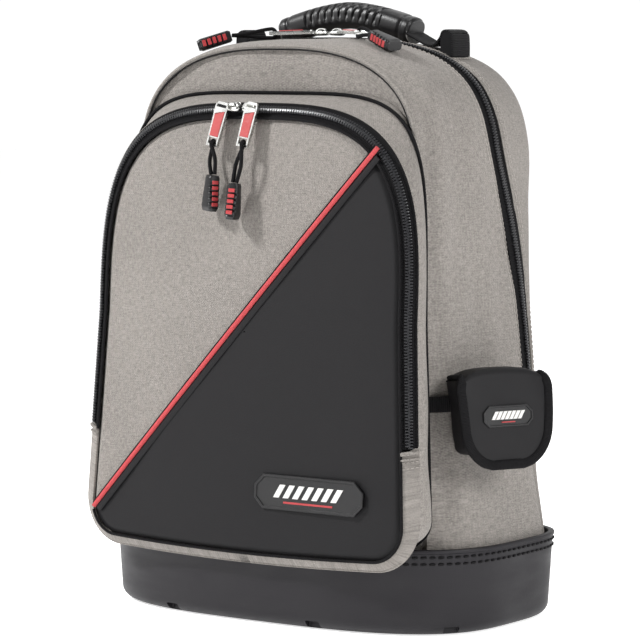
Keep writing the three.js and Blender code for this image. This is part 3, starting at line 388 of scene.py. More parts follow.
def round_section(half_width: float, half_height: float, sides: int = 12, power: float = 2.0,
                  lift: float = 0.0) -> Section:
    """Returns a rounded section as (across, lift) pairs.

    Args:
        half_width: half its width.
        half_height: half its height.
        sides: how many points it has.
        power: 2 for a round one; a larger power makes it boxy.
        lift: how far it is moved outward.

    Returns:
        The pairs, once round.
    """
    section = []
    for index in range(sides):
        angle = 2 * math.pi * (index + 0.5) / sides
        section.append((half_width * signed_power(math.cos(angle), 2 / power),
                        lift + half_height * signed_power(math.sin(angle), 2 / power)))
    return section


def resample(places: Sequence[Vec], spacing: float, closed: bool = False) -> tuple[Vec, Vec]:
    """Spreads points evenly on a run.

    Args:
        places: the run's points.
        spacing: about how far apart the new points are.
        closed: whether the run closes on itself.

    Returns:
        The new points, and for each the place in the old run as a number of rows.
    """
    run = np.array(list(places) + ([places[0]] if closed else []))
    steps = np.linalg.norm(np.diff(run, axis=0), axis=1)
    lengths = np.concatenate(([0.0], np.cumsum(steps)))
    count = max(2, int(round(lengths[-1] / spacing)) + 1)
    wanted = np.linspace(0.0, lengths[-1], count)
    if closed:
        wanted = wanted[:-1]
    new = np.stack([np.interp(wanted, lengths, run[:, axis]) for axis in range(3)], axis=1)
    return new, np.interp(wanted, lengths, np.arange(len(run)))


def smooth_run(points: Sequence[Sequence[float]], spacing: float) -> Vec:
    """Returns a smooth curve through points, resampled at a spacing."""
    points = [np.asarray(p, dtype=float) for p in points]
    padded = [2 * points[0] - points[1], *points, 2 * points[-1] - points[-2]]
    fine = []
    for i in range(1, len(padded) - 2):
        a, b, c, d = padded[i - 1:i + 3]
        for t in evenly(0, 1, 12)[:-1]:
            fine.append(0.5 * (2 * b + (c - a) * t + (2 * a - 5 * b + 4 * c - d) * t * t
                               + (3 * b - a - 3 * c + d) * t ** 3))
    fine.append(points[-1])
    return resample(fine, spacing)[0]


class Stitching(NamedTuple):
    """The measures of a row of stitches: one stitch, the bare cloth after it and half the thread."""

    length: float
    gap: float
    radius: float


class StitchStop(NamedTuple):
    """A station of one stitch: a share of its length, and its size and lift as shares of the thread."""

    share: float
    size: float
    lift: float


STITCH = (
    StitchStop(-0.5, 0.35, -0.4), StitchStop(-0.36, 0.85, 0.25), StitchStop(0.0, 1.0, 0.5),
    StitchStop(0.36, 0.85, 0.25), StitchStop(0.5, 0.35, -0.4),
)


def add_stitches(shape: Shape, places: Sequence[Vec], normals: Sequence[Vec], length: float, gap: float,
                 radius: float, closed: bool = False) -> None:
    """Adds a row of stitches: short threads that dip into the cloth at both ends.

    Args:
        shape: gathers them.
        places: the seam's line on the cloth.
        normals: the cloth's outward direction at each place.
        length: length of one stitch.
        gap: bare cloth between two stitches.
        radius: half the thread's thickness.
        closed: whether the line closes on itself.
    """
    line, rows = resample(places, length + gap, closed)
    normals = np.asarray(normals)
    count = len(places)
    steps = len(line) if closed else len(line) - 1
    for i in range(steps):
        start, end = line[i], line[(i + 1) % len(line)]
        normal = unit(normals[int(round(rows[i])) % count])
        along = unit(end - start)
        across = unit(np.cross(along, normal))
        middle = (start + end) / 2
        shape.add_loft([
            circle(middle + along * length * stop.share + normal * radius * stop.lift,
                   across, normal, radius * stop.size, 6)
            for stop in STITCH])


class ToothStop(NamedTuple):
    """A station of one zip tooth: how far it reaches over the middle, and its size, as shares."""

    reach: float
    size: float


TOOTH = (ToothStop(-0.3, 0.45), ToothStop(-0.15, 1.0), ToothStop(0.75, 1.0), ToothStop(1.0, 0.55))
TOOTH_SECTION = ((-1, -1), (1, -1), (1, 0.4), (0.5, 1), (-0.5, 1), (-1, 0.4))
TOOTH_SHARE_OF_PITCH = 0.36


def add_teeth(shape: Shape, places: Sequence[Vec], normals: Sequence[Vec], half_width: float, pitch: float,
              height: float) -> None:
    """Adds a coil zip's teeth: rounded bars that reach over the middle from each side in turn.

    Args:
        shape: gathers them.
        places: the zip's middle line.
        normals: the zip's outward direction at each place.
        half_width: half the coil's width.
        pitch: length from one tooth to the next on the same side.
        height: how far the teeth stand up.
    """
    line, rows = resample(places, pitch / 2)
    normals = np.asarray(normals)
    for i in range(1, len(line) - 1):
        normal = unit(normals[int(round(rows[i]))])
        along = unit(line[i + 1] - line[i - 1])
        across = unit(np.cross(along, normal)) * (1 if i % 2 else -1)
        rings = []
        for reach, size in TOOTH:
            centre = line[i] + across * half_width * reach
            rings.append([centre + along * pitch * TOOTH_SHARE_OF_PITCH * size * dx
                          + normal * height * (0.5 + 0.5 * size * dz) for dx, dz in TOOTH_SECTION])
        shape.add_loft(rings)


# Finishes


def linear(colour: str) -> tuple[float, float, float, float]:
    """Turns an sRGB hex colour to linear, with alpha."""
    channels = [int(colour[i:i + 2], 16) / 255 for i in (1, 3, 5)]
    red, green, blue = (c / 12.92 if c <= 0.04045 else ((c + 0.055) / 1.055) ** 2.4 for c in channels)
    return red, green, blue, 1.0


def add_node(tree: Tree, kind: str, inputs: Optional[dict] = None, **settings: object) -> Node:
    """Adds a node with its settings and links.

    Args:
        tree: the material's nodes.
        kind: the node's type.
        inputs: for each socket, by name or number, a value or the socket that feeds it.
        **settings: the node's own properties.

    Returns:
        The new node.
    """
    new = tree.nodes.new(kind)
    for key, value in settings.items():
        setattr(new, key, value)
    for key, value in (inputs or {}).items():
        if isinstance(value, Socket):
            tree.links.new(value, new.inputs[key])
        else:
            new.inputs[key].default_value = value
    return new


def calculate(tree: Tree, operation: str, *values: object) -> Socket:
    """Returns the result of a sum on sockets or numbers."""
    return add_node(tree, "ShaderNodeMath", dict(enumerate(values)), operation=operation).outputs[0]


def remap(tree: Tree, pattern: Socket, low: float, high: float, start: float = 0.0,
          end: float = 1.0) -> Socket:
    """Returns a pattern that runs from low to high where its source goes from start to end."""
    inputs = {"Value": pattern, "From Min": start, "From Max": end, "To Min": low, "To Max": high}
    return add_node(tree, "ShaderNodeMapRange", inputs).outputs[0]


class Coordinates(Enum):
    """Where a pattern's place comes from: the cloth's own length and width, or the object's space."""

    CLOTH = "UV"
    SPACE = "Object"


@dataclass(frozen=True)
class Finish:
    """A material made of one shader with colour, roughness and relief patterns."""

    name: str
    colour: str
    roughness: float
    ior: float = 1.5
    metallic: float = 0.0
    sheen: float = 0.0
    coat: float = 0.0
    specular: float = 0.5

    def material(self) -> bpy.types.Material:
        """Returns the Blender material, made once."""
        found = bpy.data.materials.get(self.name)
        if found:
            return found
        made = bpy.data.materials.new(self.name)
        made.use_nodes = True
        tree = made.node_tree
        shader = tree.nodes["Principled BSDF"]
        for socket, value in (("Base Color", linear(self.colour)), ("Roughness", self.roughness),
                              ("Metallic", self.metallic), ("IOR", self.ior), ("Sheen Weight", self.sheen),
                              ("Coat Weight", self.coat), ("Specular IOR Level", self.specular)):
            shader.inputs[socket].default_value = value
        self.dress(tree, shader)
        return made

    def dress(self, tree: Tree, shader: Node) -> None:
        """Adds the patterns; a finish of its own kind does this its own way."""

    def place(self, tree: Tree, coordinates: Coordinates, per_metre: Sequence[float]) -> Socket:
        """Returns a coordinate scaled by a number of pattern lengths per metre."""
        source = add_node(tree, "ShaderNodeTexCoord").outputs[coordinates.value]
        inputs = {0: source, 1: tuple(per_metre)}
        return add_node(tree, "ShaderNodeVectorMath", inputs, operation="MULTIPLY").outputs[0]

    def cloud(self, tree: Tree, coordinates: Coordinates, size: Sequence[float],
              detail: float = 3.0) -> Socket:
        """Returns a noise whose grains are size millimetres long on each axis."""
        place = self.place(tree, coordinates, [1 / (MM * s) for s in size])
        inputs = {"Vector": place, "Scale": 1.0, "Detail": detail}
        return add_node(tree, "ShaderNodeTexNoise", inputs).outputs["Fac"]

    def vary(self, tree: Tree, shader: Node, pattern: Socket, low: float, high: float) -> None:
        """Makes the colour run from low to high times its own brightness with a pattern."""
        inputs = {0: linear(self.colour)[:3], "Scale": remap(tree, pattern, low, high)}
        colour = add_node(tree, "ShaderNodeVectorMath", inputs, operation="SCALE").outputs[0]
        tree.links.new(colour, shader.inputs["Base Color"])

    def shine(self, tree: Tree, shader: Node, roughness: Socket) -> None:
        """Makes a pattern the roughness."""
        tree.links.new(roughness, shader.inputs["Roughness"])

    def relief(self, tree: Tree, shader: Node, height: Socket, depth: float,
               strength: float = 1.0) -> None:
        """Turns a height pattern into bumps of a depth in millimetres."""
        inputs = {"Height": height, "Distance": depth * MM, "Strength": strength}
        tree.links.new(add_node(tree, "ShaderNodeBump", inputs).outputs[0], shader.inputs["Normal"])

    def sum_of(self, tree: Tree, *shares: tuple[Socket, float]) -> Socket:
        """Adds patterns up, each times its share."""
        total = 0.0
        for pattern, share in shares:
            total = calculate(tree, "MULTIPLY_ADD", pattern, share, total)
        return total


@dataclass(frozen=True)
class WovenPolyester(Finish):
    """Textured polyester yarn in a plain weave, which gives the eye a dry, finely speckled grey."""

    # The yarns are drawn about twice as thick as real ones, so that the weave shows from three metres away.
    thread: float = 1.2
    depth: float = 0.5
    speckle: float = 0.3

    def dress(self, tree: Tree, shader: Node) -> None:
        """Crosses warp and weft, then adds uneven yarns and faint handling marks."""
        turns = math.pi / (MM * self.thread)
        place = self.place(tree, Coordinates.CLOTH, (turns, turns, 0))
        axes = add_node(tree, "ShaderNodeSeparateXYZ", {0: place}).outputs
        warp, weft = calculate(tree, "SINE", axes[0]), calculate(tree, "SINE", axes[1])
        cross = calculate(tree, "MULTIPLY", warp, weft)
        yarn = self.cloud(tree, Coordinates.CLOTH, (self.thread * 4, self.thread * 0.9, 1), 2.0)
        pick = self.cloud(tree, Coordinates.CLOTH, (self.thread * 0.9, self.thread * 4, 1), 2.0)
        slub = self.cloud(tree, Coordinates.SPACE, (self.thread * 0.9,) * 3, 1.0)
        marks = self.cloud(tree, Coordinates.SPACE, (70, 70, 70), 4.0)
        shade = self.sum_of(tree, (cross, 0.06), (yarn, 1.0), (pick, 1.0), (slub, 0.6), (marks, 0.3))
        centred = calculate(tree, "SUBTRACT", shade, 1.0)
        self.vary(tree, shader, centred, 1 - self.speckle * 1.4, 1 + self.speckle * 1.2)
        self.relief(tree, shader, self.sum_of(tree, (cross, 0.3), (yarn, 0.6), (pick, 0.6)), self.depth)


@dataclass(frozen=True)
class CoatedCloth(Finish):
    """Cloth under a calendered coating: near black, smooth, with a low satin glow and a fine pebble."""

    pebble: float = 1.4
    depth: float = 0.12

    def dress(self, tree: Tree, shader: Node) -> None:
        """Adds the pebble and wide, faint changes of shine."""
        grain = self.cloud(tree, Coordinates.SPACE, (self.pebble,) * 3, 2.0)
        wide = self.cloud(tree, Coordinates.SPACE, (60, 60, 60), 3.0)
        self.vary(tree, shader, self.sum_of(tree, (grain, 0.5), (wide, 0.5)), 0.85, 1.15)
        self.shine(tree, shader, remap(tree, wide, self.roughness - 0.06, self.roughness + 0.06))
        self.relief(tree, shader, grain, self.depth)


@dataclass(frozen=True)
class SpacerMesh(Finish):
    """Warp-knitted spacer mesh over foam: matt black with a honeycomb of open cells."""

    cell: float = 3.2
    depth: float = 0.7

    def dress(self, tree: Tree, shader: Node) -> None:
        """Adds the open cells, sunk between the knitted bars and painted darker with the shade that falls in
        them.
        """
        place = self.place(tree, Coordinates.SPACE, (1 / (MM * self.cell),) * 3)
        cells = add_node(tree, "ShaderNodeTexVoronoi", {"Vector": place, "Scale": 1.0, "Randomness": 0.35},
                         feature="F1").outputs["Distance"]
        # Painted shade: the colour is darkest in the middle of each sunk cell and lighter over the bars.
        self.vary(tree, shader, cells, 0.5, 1.9)
        self.relief(tree, shader, cells, self.depth)


@dataclass(frozen=True)
class RibbedWeave(Finish):
    """Tightly woven tape: black with fine ribs across its length."""

    rib: float = 1.8
    depth: float = 0.35

    def dress(self, tree: Tree, shader: Node) -> None:
        """Adds ribs along the tape's run and a fine yarn noise."""
        place = self.place(tree, Coordinates.CLOTH, (2 * math.pi / (MM * self.rib), 0, 0))
        axis = add_node(tree, "ShaderNodeSeparateXYZ", {0: place}).outputs[0]
        ribs = calculate(tree, "SINE", axis)
        yarn = self.cloud(tree, Coordinates.CLOTH, (1.2, 0.7, 1), 2.0)
        self.vary(tree, shader, self.sum_of(tree, (ribs, 0.2), (yarn, 0.8)), 0.6, 1.7)
        self.relief(tree, shader, self.sum_of(tree, (ribs, 0.6), (yarn, 0.4)), self.depth)


@dataclass(frozen=True)
class MouldedPolymer(Finish):
    """Injection-moulded plastic or rubber with a fine spark-eroded grain."""

    grain: float = 1.1
    depth: float = 0.1

    def dress(self, tree: Tree, shader: Node) -> None:
        """Adds the grain and faint scuffs in the shine."""
        grain = self.cloud(tree, Coordinates.SPACE, (self.grain,) * 3, 3.0)
        scuffs = self.cloud(tree, Coordinates.SPACE, (45, 45, 12), 5.0)
        self.vary(tree, shader, self.sum_of(tree, (grain, 0.3), (scuffs, 0.7)), 0.85, 1.15)
        self.shine(tree, shader, remap(tree, scuffs, self.roughness - 0.07, self.roughness + 0.07, 0.3, 0.7))
        self.relief(tree, shader, grain, self.depth)


@dataclass(frozen=True)
class CastMetal(Finish):
    """Cast zinc under bright plating: nearly a mirror, softened by handling."""

    def dress(self, tree: Tree, shader: Node) -> None:
        """Adds smears in the shine and a very shallow cast unevenness."""
        smears = self.cloud(tree, Coordinates.SPACE, (9, 9, 3), 4.0)
        self.shine(tree, shader, remap(tree, smears, self.roughness * 0.6, self.roughness * 1.6))
        self.vary(tree, shader, smears, 0.9, 1.08)
        self.relief(tree, shader, self.cloud(tree, Coordinates.SPACE, (2.5, 2.5, 2.5), 2.0), 0.03)


GREY_CLOTH = WovenPolyester("grey_woven_polyester", "#8a8580", 0.9, sheen=0.1, specular=0.2)
GREY_THREAD = WovenPolyester("grey_polyester_thread", "#a7a19b", 0.75, thread=0.6, depth=0.1)
BLACK_COATED = CoatedCloth("black_coated_cloth", "#141315", 0.6, specular=0.25)
BLACK_MESH = SpacerMesh("black_spacer_mesh", "#141315", 0.92, sheen=0.1, specular=0.2)
BLACK_WEBBING = RibbedWeave("black_polyester_webbing", "#100f11", 0.82, sheen=0.05, specular=0.2)
BLACK_BINDING = RibbedWeave("black_binding_tape", "#0e0d0f", 0.86, specular=0.2, rib=1.2, depth=0.25)
BLACK_THREAD = RibbedWeave("black_bonded_thread", "#0a090b", 0.6, specular=0.2, rib=0.8, depth=0.1)
ZIP_TAPE = RibbedWeave("black_zip_tape", "#0b0a0c", 0.84, specular=0.2, rib=1.4, depth=0.25)
ZIP_COIL = MouldedPolymer("black_nylon_coil", "#2c2c2e", 0.28, grain=0.8, depth=0.03)
TUB_PLASTIC = MouldedPolymer("black_moulded_polypropylene", "#1b191d", 0.5, specular=0.3, grain=1.0,
                             depth=0.09)
BUCKLE_PLASTIC = MouldedPolymer("black_acetal", "#1a191b", 0.42)
GRIP_RUBBER = MouldedPolymer("black_moulded_rubber", "#0e0d0f", 0.4)
RED_RUBBER = MouldedPolymer("red_moulded_rubber", "#ab3538", 0.5)
RED_INLAY = MouldedPolymer("red_soft_inlay", "#b04a4a", 0.34, grain=2.5, depth=0.3)
# Painted highlight: this grey stands in for the light caught on the edges of the black grip's collars.
PAINTED_HIGHLIGHT_RUBBER = MouldedPolymer("grey_painted_highlight_rubber", "#8f8d8b", 0.5)
RED_PIPING = WovenPolyester("red_woven_piping", "#b83e42", 0.7, thread=1.2, depth=0.2, speckle=0.12)
BRIGHT_ZINC = CastMetal("bright_cast_zinc", "#e6e6e3", 0.24, metallic=1.0)
BADGE_RUBBER = MouldedPolymer("black_badge_rubber", "#0c0b0d", 0.4)
PALE_PRINT = MouldedPolymer("pale_badge_rubber", "#dcdad7", 0.5)


# The bag's form


class BagSection(NamedTuple):
    """One arch of the bag: its depth as a share, the rest as shares of the half width or the rise."""

    depth: float
    spring: float
    rise: float
    power: float
    tuck: float
    flare: float


BAG_SECTIONS = (
    BagSection(0.0, 0.908, 0.942, 2.6, 0.066, 1.0),
    BagSection(0.048, 0.934, 0.971, 2.7, 0.01, 1.3),
    BagSection(0.12, 0.954, 0.99, 2.8, 0.0, 1.6),
    BagSection(0.271, 0.98, 1.0, 2.9, 0.0, 1.8),
    BagSection(0.482, 1.0, 1.0, 3.0, 0.0, 1.9),
    BagSection(0.65, 1.0, 0.985, 3.0, 0.0, 1.9),
    BagSection(0.855, 0.99, 0.955, 3.0, 0.0, 1.9),
    BagSection(0.946, 0.947, 0.874, 2.9, 0.0, 1.9),
    BagSection(1.0, 0.868, 0.777, 2.8, 0.02, 1.9),
)


class ZipStop(NamedTuple):
    """A point of the main zip: its height above the low end and its depth in the bag, as shares."""

    height: float
    depth: float


MAIN_ZIP = (
    ZipStop(0.0, 0.819), ZipStop(0.12, 0.819), ZipStop(0.3, 0.795), ZipStop(0.435, 0.753),
    ZipStop(0.571, 0.681), ZipStop(0.706, 0.584), ZipStop(0.813, 0.542), ZipStop(0.948, 0.506),
    ZipStop(0.977, 0.47), ZipStop(1.0, 0.458),
)


class Arch(NamedTuple):
    """The measures of the arch at one depth."""

    foot: float
    spring: float
    rise: float
    power: float
    flare: float


@dataclass(frozen=True)
class TubForm:
    """The outline of the moulded base."""

    height: float = 70.0
    half_width: float = 188.0
    middle_y: float = -20.0
    front_depth: float = 120.0
    back_depth: float = 98.0
    front_power: float = 3.0
    back_power: float = 4.0
    wall: float = 3.5
    draft: float = 4.0
    foot_radius: float = 10.0

    def half_width_at(self, y: float, inset: float) -> float:
        """Returns half the inside width at a depth, inset from the outside."""
        front = y < self.middle_y
        depth = (self.front_depth if front else self.back_depth) - inset
        power = self.front_power if front else self.back_power
        share = min(1.0, abs(y - self.middle_y) / depth)
        return (self.half_width - inset) * (1 - share ** power) ** (1 / power)

    def ring(self, inward: float, z: float, sides: int = 240) -> Vec:
        """Returns one outline ring at a height, moved inward."""
        points = []
        for index in range(sides):
            angle = 2 * math.pi * index / sides
            front = math.sin(angle) < 0
            power = 2 / (self.front_power if front else self.back_power)
            depth = (self.front_depth if front else self.back_depth) - inward
            points.append((
                (self.half_width - inward) * signed_power(math.cos(angle), power),
                self.middle_y + depth * signed_power(math.sin(angle), power), z))
        return np.array(points)


@dataclass(frozen=True)
class BagForm:
    """The main compartment as arches from the front seam to the back seam."""

    tub: TubForm = TubForm()
    top: float = 475.0
    half_width: float = 152.0
    spring_height: float = 372.0
    cloth_foot: float = 58.0
    front_seam: float = -100.0
    back_seam: float = 66.0
    foot_clearance: float = 1.2
    zip_end: float = 165.0
    zip_half_width: float = 9.0
    leg_share: float = 0.3
    zip_depth_share: float = 0.44

    def depth_at(self, share: float) -> float:
        """Returns the Y at a share of the bag's depth."""
        return mix(self.front_seam, self.back_seam, share)

    @lru_cache(maxsize=None)
    def arch(self, y: float, inset: float = 0.0) -> Arch:
        """Returns the arch at a depth, moved inward by inset."""
        share = clamp((y - self.front_seam) / (self.back_seam - self.front_seam))
        columns = ("spring", "rise", "power", "tuck", "flare")
        spring, rise, power, tuck, flare = (read_column(BAG_SECTIONS, "depth", name, share)
                                            for name in columns)
        draft = self.tub.draft * (1 - self.cloth_foot / self.tub.height)
        foot_inset = self.tub.wall + self.foot_clearance + draft
        return Arch(self.tub.half_width_at(y, foot_inset) - self.half_width * tuck - inset,
                    self.half_width * spring - inset,
                    (self.top - self.spring_height) * rise - inset, power, flare)

    def stops(self, leg_steps: int, arch_steps: int) -> list[float]:
        """Returns places t up the left leg, over the arch and down the right leg."""
        low, high = self.leg_share, 1 - self.leg_share
        return [*evenly(0, low, leg_steps), *evenly(low, high, arch_steps)[1:-1],
                *evenly(high, 1, leg_steps)]

    def leg_width(self, arch: Arch, z: float) -> float:
        """Returns the half width of the arch's leg at a height."""
        share = clamp((z - self.cloth_foot) / (self.spring_height - self.cloth_foot))
        return arch.spring + (arch.foot - arch.spring) * (1 - share) ** arch.flare

    def arch_point(self, arch: Arch, t: float) -> tuple[float, float]:
        """Returns X and Z on the arch, for t from the left foot (0) over the top to the right foot (1)."""
        leg = min(t, 1 - t)
        if leg < self.leg_share:
            z = mix(self.cloth_foot, self.spring_height, leg / self.leg_share)
            return (-1 if t < 0.5 else 1) * self.leg_width(arch, z), z
        angle = math.pi * (1 - (t - self.leg_share) / (1 - 2 * self.leg_share))
        return (arch.spring * signed_power(math.cos(angle), 2 / arch.power),
                self.spring_height + arch.rise * abs(math.sin(angle)) ** (2 / arch.power))

    def at(self, t: float, y: float) -> Vec:
        """Returns the point of the bag's skin for t at a depth."""
        x, z = self.arch_point(self.arch(round(y, 3)), clamp(t))
        return point(x, y, z)

    def normal(self, t: float, y: float) -> Vec:
        """Returns the skin's outward direction."""
        along = self.at(min(t + 0.004, 1.0), y) - self.at(max(t - 0.004, 0.0), y)
        return unit(np.cross(along, self.at(t, y + 1) - self.at(t, y - 1)))

    def top_at(self, x: float, y: float) -> float:
        """Returns the height of the bag's top over a place on the floor plan."""
        arch = self.arch(round(y, 3))
        share = min(1.0, abs(x) / arch.spring)
        return self.spring_height + arch.rise * (1 - share ** arch.power) ** (1 / arch.power)

    def top_normal(self, x: float, y: float) -> Vec:
        """Returns the outward direction of the bag's top."""
        east = point(2, 0, self.top_at(x + 1, y) - self.top_at(x - 1, y))
        north = point(0, 2, self.top_at(x, y + 1) - self.top_at(x, y - 1))
        return unit(np.cross(east, north))

    def zip_y(self, t: float) -> float:
        """Returns the depth of the main zip's middle line at t."""
        z = self.arch_point(self.arch(self.depth_at(self.zip_depth_share)), t)[1]
        share = clamp((z - self.zip_end) / (self.top - self.zip_end))
        return self.depth_at(read_column(MAIN_ZIP, "height", "depth", share))

    @property
    def zip_end_t(self) -> float:
        """Returns t at the main zip's low ends."""
        return self.leg_share * (self.zip_end - self.cloth_foot) / (self.spring_height - self.cloth_foot)

    def zip_opening(self, t: float) -> float:
        """Returns half the slot between the two gussets at t."""
        share = smooth(min(t, 1 - t), self.zip_end_t - 0.002, self.zip_end_t + 0.002)
        return mix(0.4, self.zip_half_width + 0.7, share)


def rim_stops(*steps: int) -> list[float]:
    """Returns places q round the pocket, with a number of steps for foot, corner, side and arch."""
    half = [0.0]
    for start, count in enumerate(steps):
        half += evenly(start, start + 1, count)[1:]
    return half + [8 - q for q in half[1:-1]][::-1]


@dataclass(frozen=True)
class PocketForm:
    """The front pocket: its rim, the zip band inside the rim, the face and the wall back to the bag."""

    bag: BagForm = BagForm()
    top: float = 424.0
    bottom: float = 54.0
    sag: float = 3.0
    spring: float = 250.0
    half_width: float = 160.0
    foot_half_width: float = 170.0
    power: float = 3.3
    corner: float = 40.0
    back_power: float = 6.0
    back_rise: float = 8.0
    back_corner: float = 24.0
    band: float = 12.5
    band_fall: float = 7.0
    band_foot_share: float = 0.72
    face_inset: float = 1.5
    face_foot_y: float = -153.5
    face_lean: float = 0.0571
    face_crown: float = 5.0
    zip_end: float = 152.0
    side_bulge: float = 1.0
    diagonal_start: tuple[float, float] = (-153.0, 85.0)
    diagonal_end: tuple[float, float] = (124.0, 390.0)

    def face_y(self, x: float, z: float) -> float:
        """Returns the depth of the face at a place."""
        crown = self.face_crown * (x / self.foot_half_width) ** 2
        return self.face_foot_y + self.face_lean * (z - self.bottom) + crown

    def outline(self, q: float, inset: float) -> tuple[float, float]:
        """Returns X and Z of the rim moved inward, for q from the foot's middle (0) round to 8."""
        return self.outline_of(q, self.foot_half_width - inset, self.half_width - inset, self.top - inset,
                               self.bottom + inset * self.band_foot_share, self.corner - inset,
                               self.power, self.sag)

    def outline_of(self, q: float, foot: float, spring: float, top: float, bottom: float, corner: float,
                   power: float, sag: float = 0.0) -> tuple[float, float]:
        """Returns X and Z of a pocket outline with given measures.

        Args:
            q: the place; whole numbers are where the bottom, the corner, the side and the arch meet.
            foot: half the width at the bottom.
            spring: half the width where the arch starts.
            top: height of the arch's top.
            bottom: height of the bottom's ends.
            corner: radius of the lower corners.
            power: 2 for a round arch; a larger power makes it boxy.
            sag: how far the bottom hangs down in its middle.

        Returns:
            X and Z.
        """
        side = -1 if q <= 4 else 1
        place = q if q <= 4 else 8 - q

        def side_at(z: float) -> float:
            """Returns the side's half width at a height."""
            return mix(foot, spring, (z - bottom) / (self.spring - bottom))

        corner_x = side_at(bottom + corner) - corner
        if place <= 1:
            return side * corner_x * place, bottom - sag * (1 - place ** 2)
        if place <= 2:
            angle = math.pi / 2 * (place - 1)
            return side * (corner_x + corner * math.sin(angle)), bottom + corner * (1 - math.cos(angle))
        if place <= 3:
            z = mix(bottom + corner, self.spring, place - 2)
            return side * side_at(z), z
        angle = math.pi / 2 * (place - 3)
        return (side * spring * signed_power(math.cos(angle), 2 / power),
                self.spring + (top - self.spring) * math.sin(angle) ** (2 / power))

    def band_point(self, q: float, share: float) -> Vec:
        """Returns a point of the band between the face (0) and the rim (1)."""
        inner, outer = self.outline(q, self.band), self.outline(q, 0)
        x, z = mix(inner[0], outer[0], share), mix(inner[1], outer[1], share)
        fall = self.band_fall * max(share, 0.0) ** 1.5
        return point(x, self.face_y(x, z) + fall, z)

    def band_normal(self, q: float, share: float = 0.5) -> Vec:
        """Returns the band's outward direction."""
        along = self.band_point(q + 0.01, share) - self.band_point(q - 0.01, share)
        return unit(np.cross(along, self.band_point(q, share + 0.2) - self.band_point(q, share - 0.2)))

    def wall_point(self, q: float, share: float) -> Vec:
        """Returns a point of the wall between the rim (0) and the front of the bag (1)."""
        rim = self.band_point(q, 1)
        seam = self.bag.arch(self.bag.front_seam)
        back = self.outline_of(q, self.bag.leg_width(seam, self.bag.tub.height),
                               self.bag.leg_width(seam, self.spring), self.top + self.back_rise,
                               self.bag.tub.height + 0.6, self.back_corner, self.back_power)
        low = q < 2 or q > 6
        climb = clamp(share / 0.1) if low else share ** 1.6
        bulge = self.side_bulge * math.sin(math.pi * share) * min(1.0, abs(rim[0]) / self.half_width)
        x = mix(rim[0], back[0], share ** 2.2) + math.copysign(bulge, rim[0])
        return point(x, mix(rim[1], self.bag.front_seam - 0.3, share), mix(rim[2], back[1], climb))

    @property
    def zip_end_q(self) -> float:
        """Returns q at the zip's low left end; the right one is 8 minus it."""
        return 2 + (self.zip_end - self.bottom - self.corner) / (self.spring - self.bottom - self.corner)

    def beside_zip(self, q: float) -> bool:
        """Returns whether q lies where the band holds the zip."""
        return self.zip_end_q < q < 8 - self.zip_end_q

    @property
    def diagonal_run(self) -> float:
        """Returns the diagonal's angle above level."""
        (start_x, start_z), (end_x, end_z) = self.diagonal_start, self.diagonal_end
        return math.atan2(end_z - start_z, end_x - start_x)

    def diagonal(self, share: float, offset: float, lift: float) -> Vec:
        """Returns a point on the diagonal, moved down by offset and out by lift."""
        run = self.diagonal_run
        x = mix(self.diagonal_start[0], self.diagonal_end[0], share) + offset * math.sin(run)
        z = mix(self.diagonal_start[1], self.diagonal_end[1], share) - offset * math.cos(run)
        return point(x, self.face_y(x, z) - lift, z)


RIGHT = point(1, 0, 0)
FRONT = point(0, -1, 0)
UP = point(0, 0, 1)


# The pieces


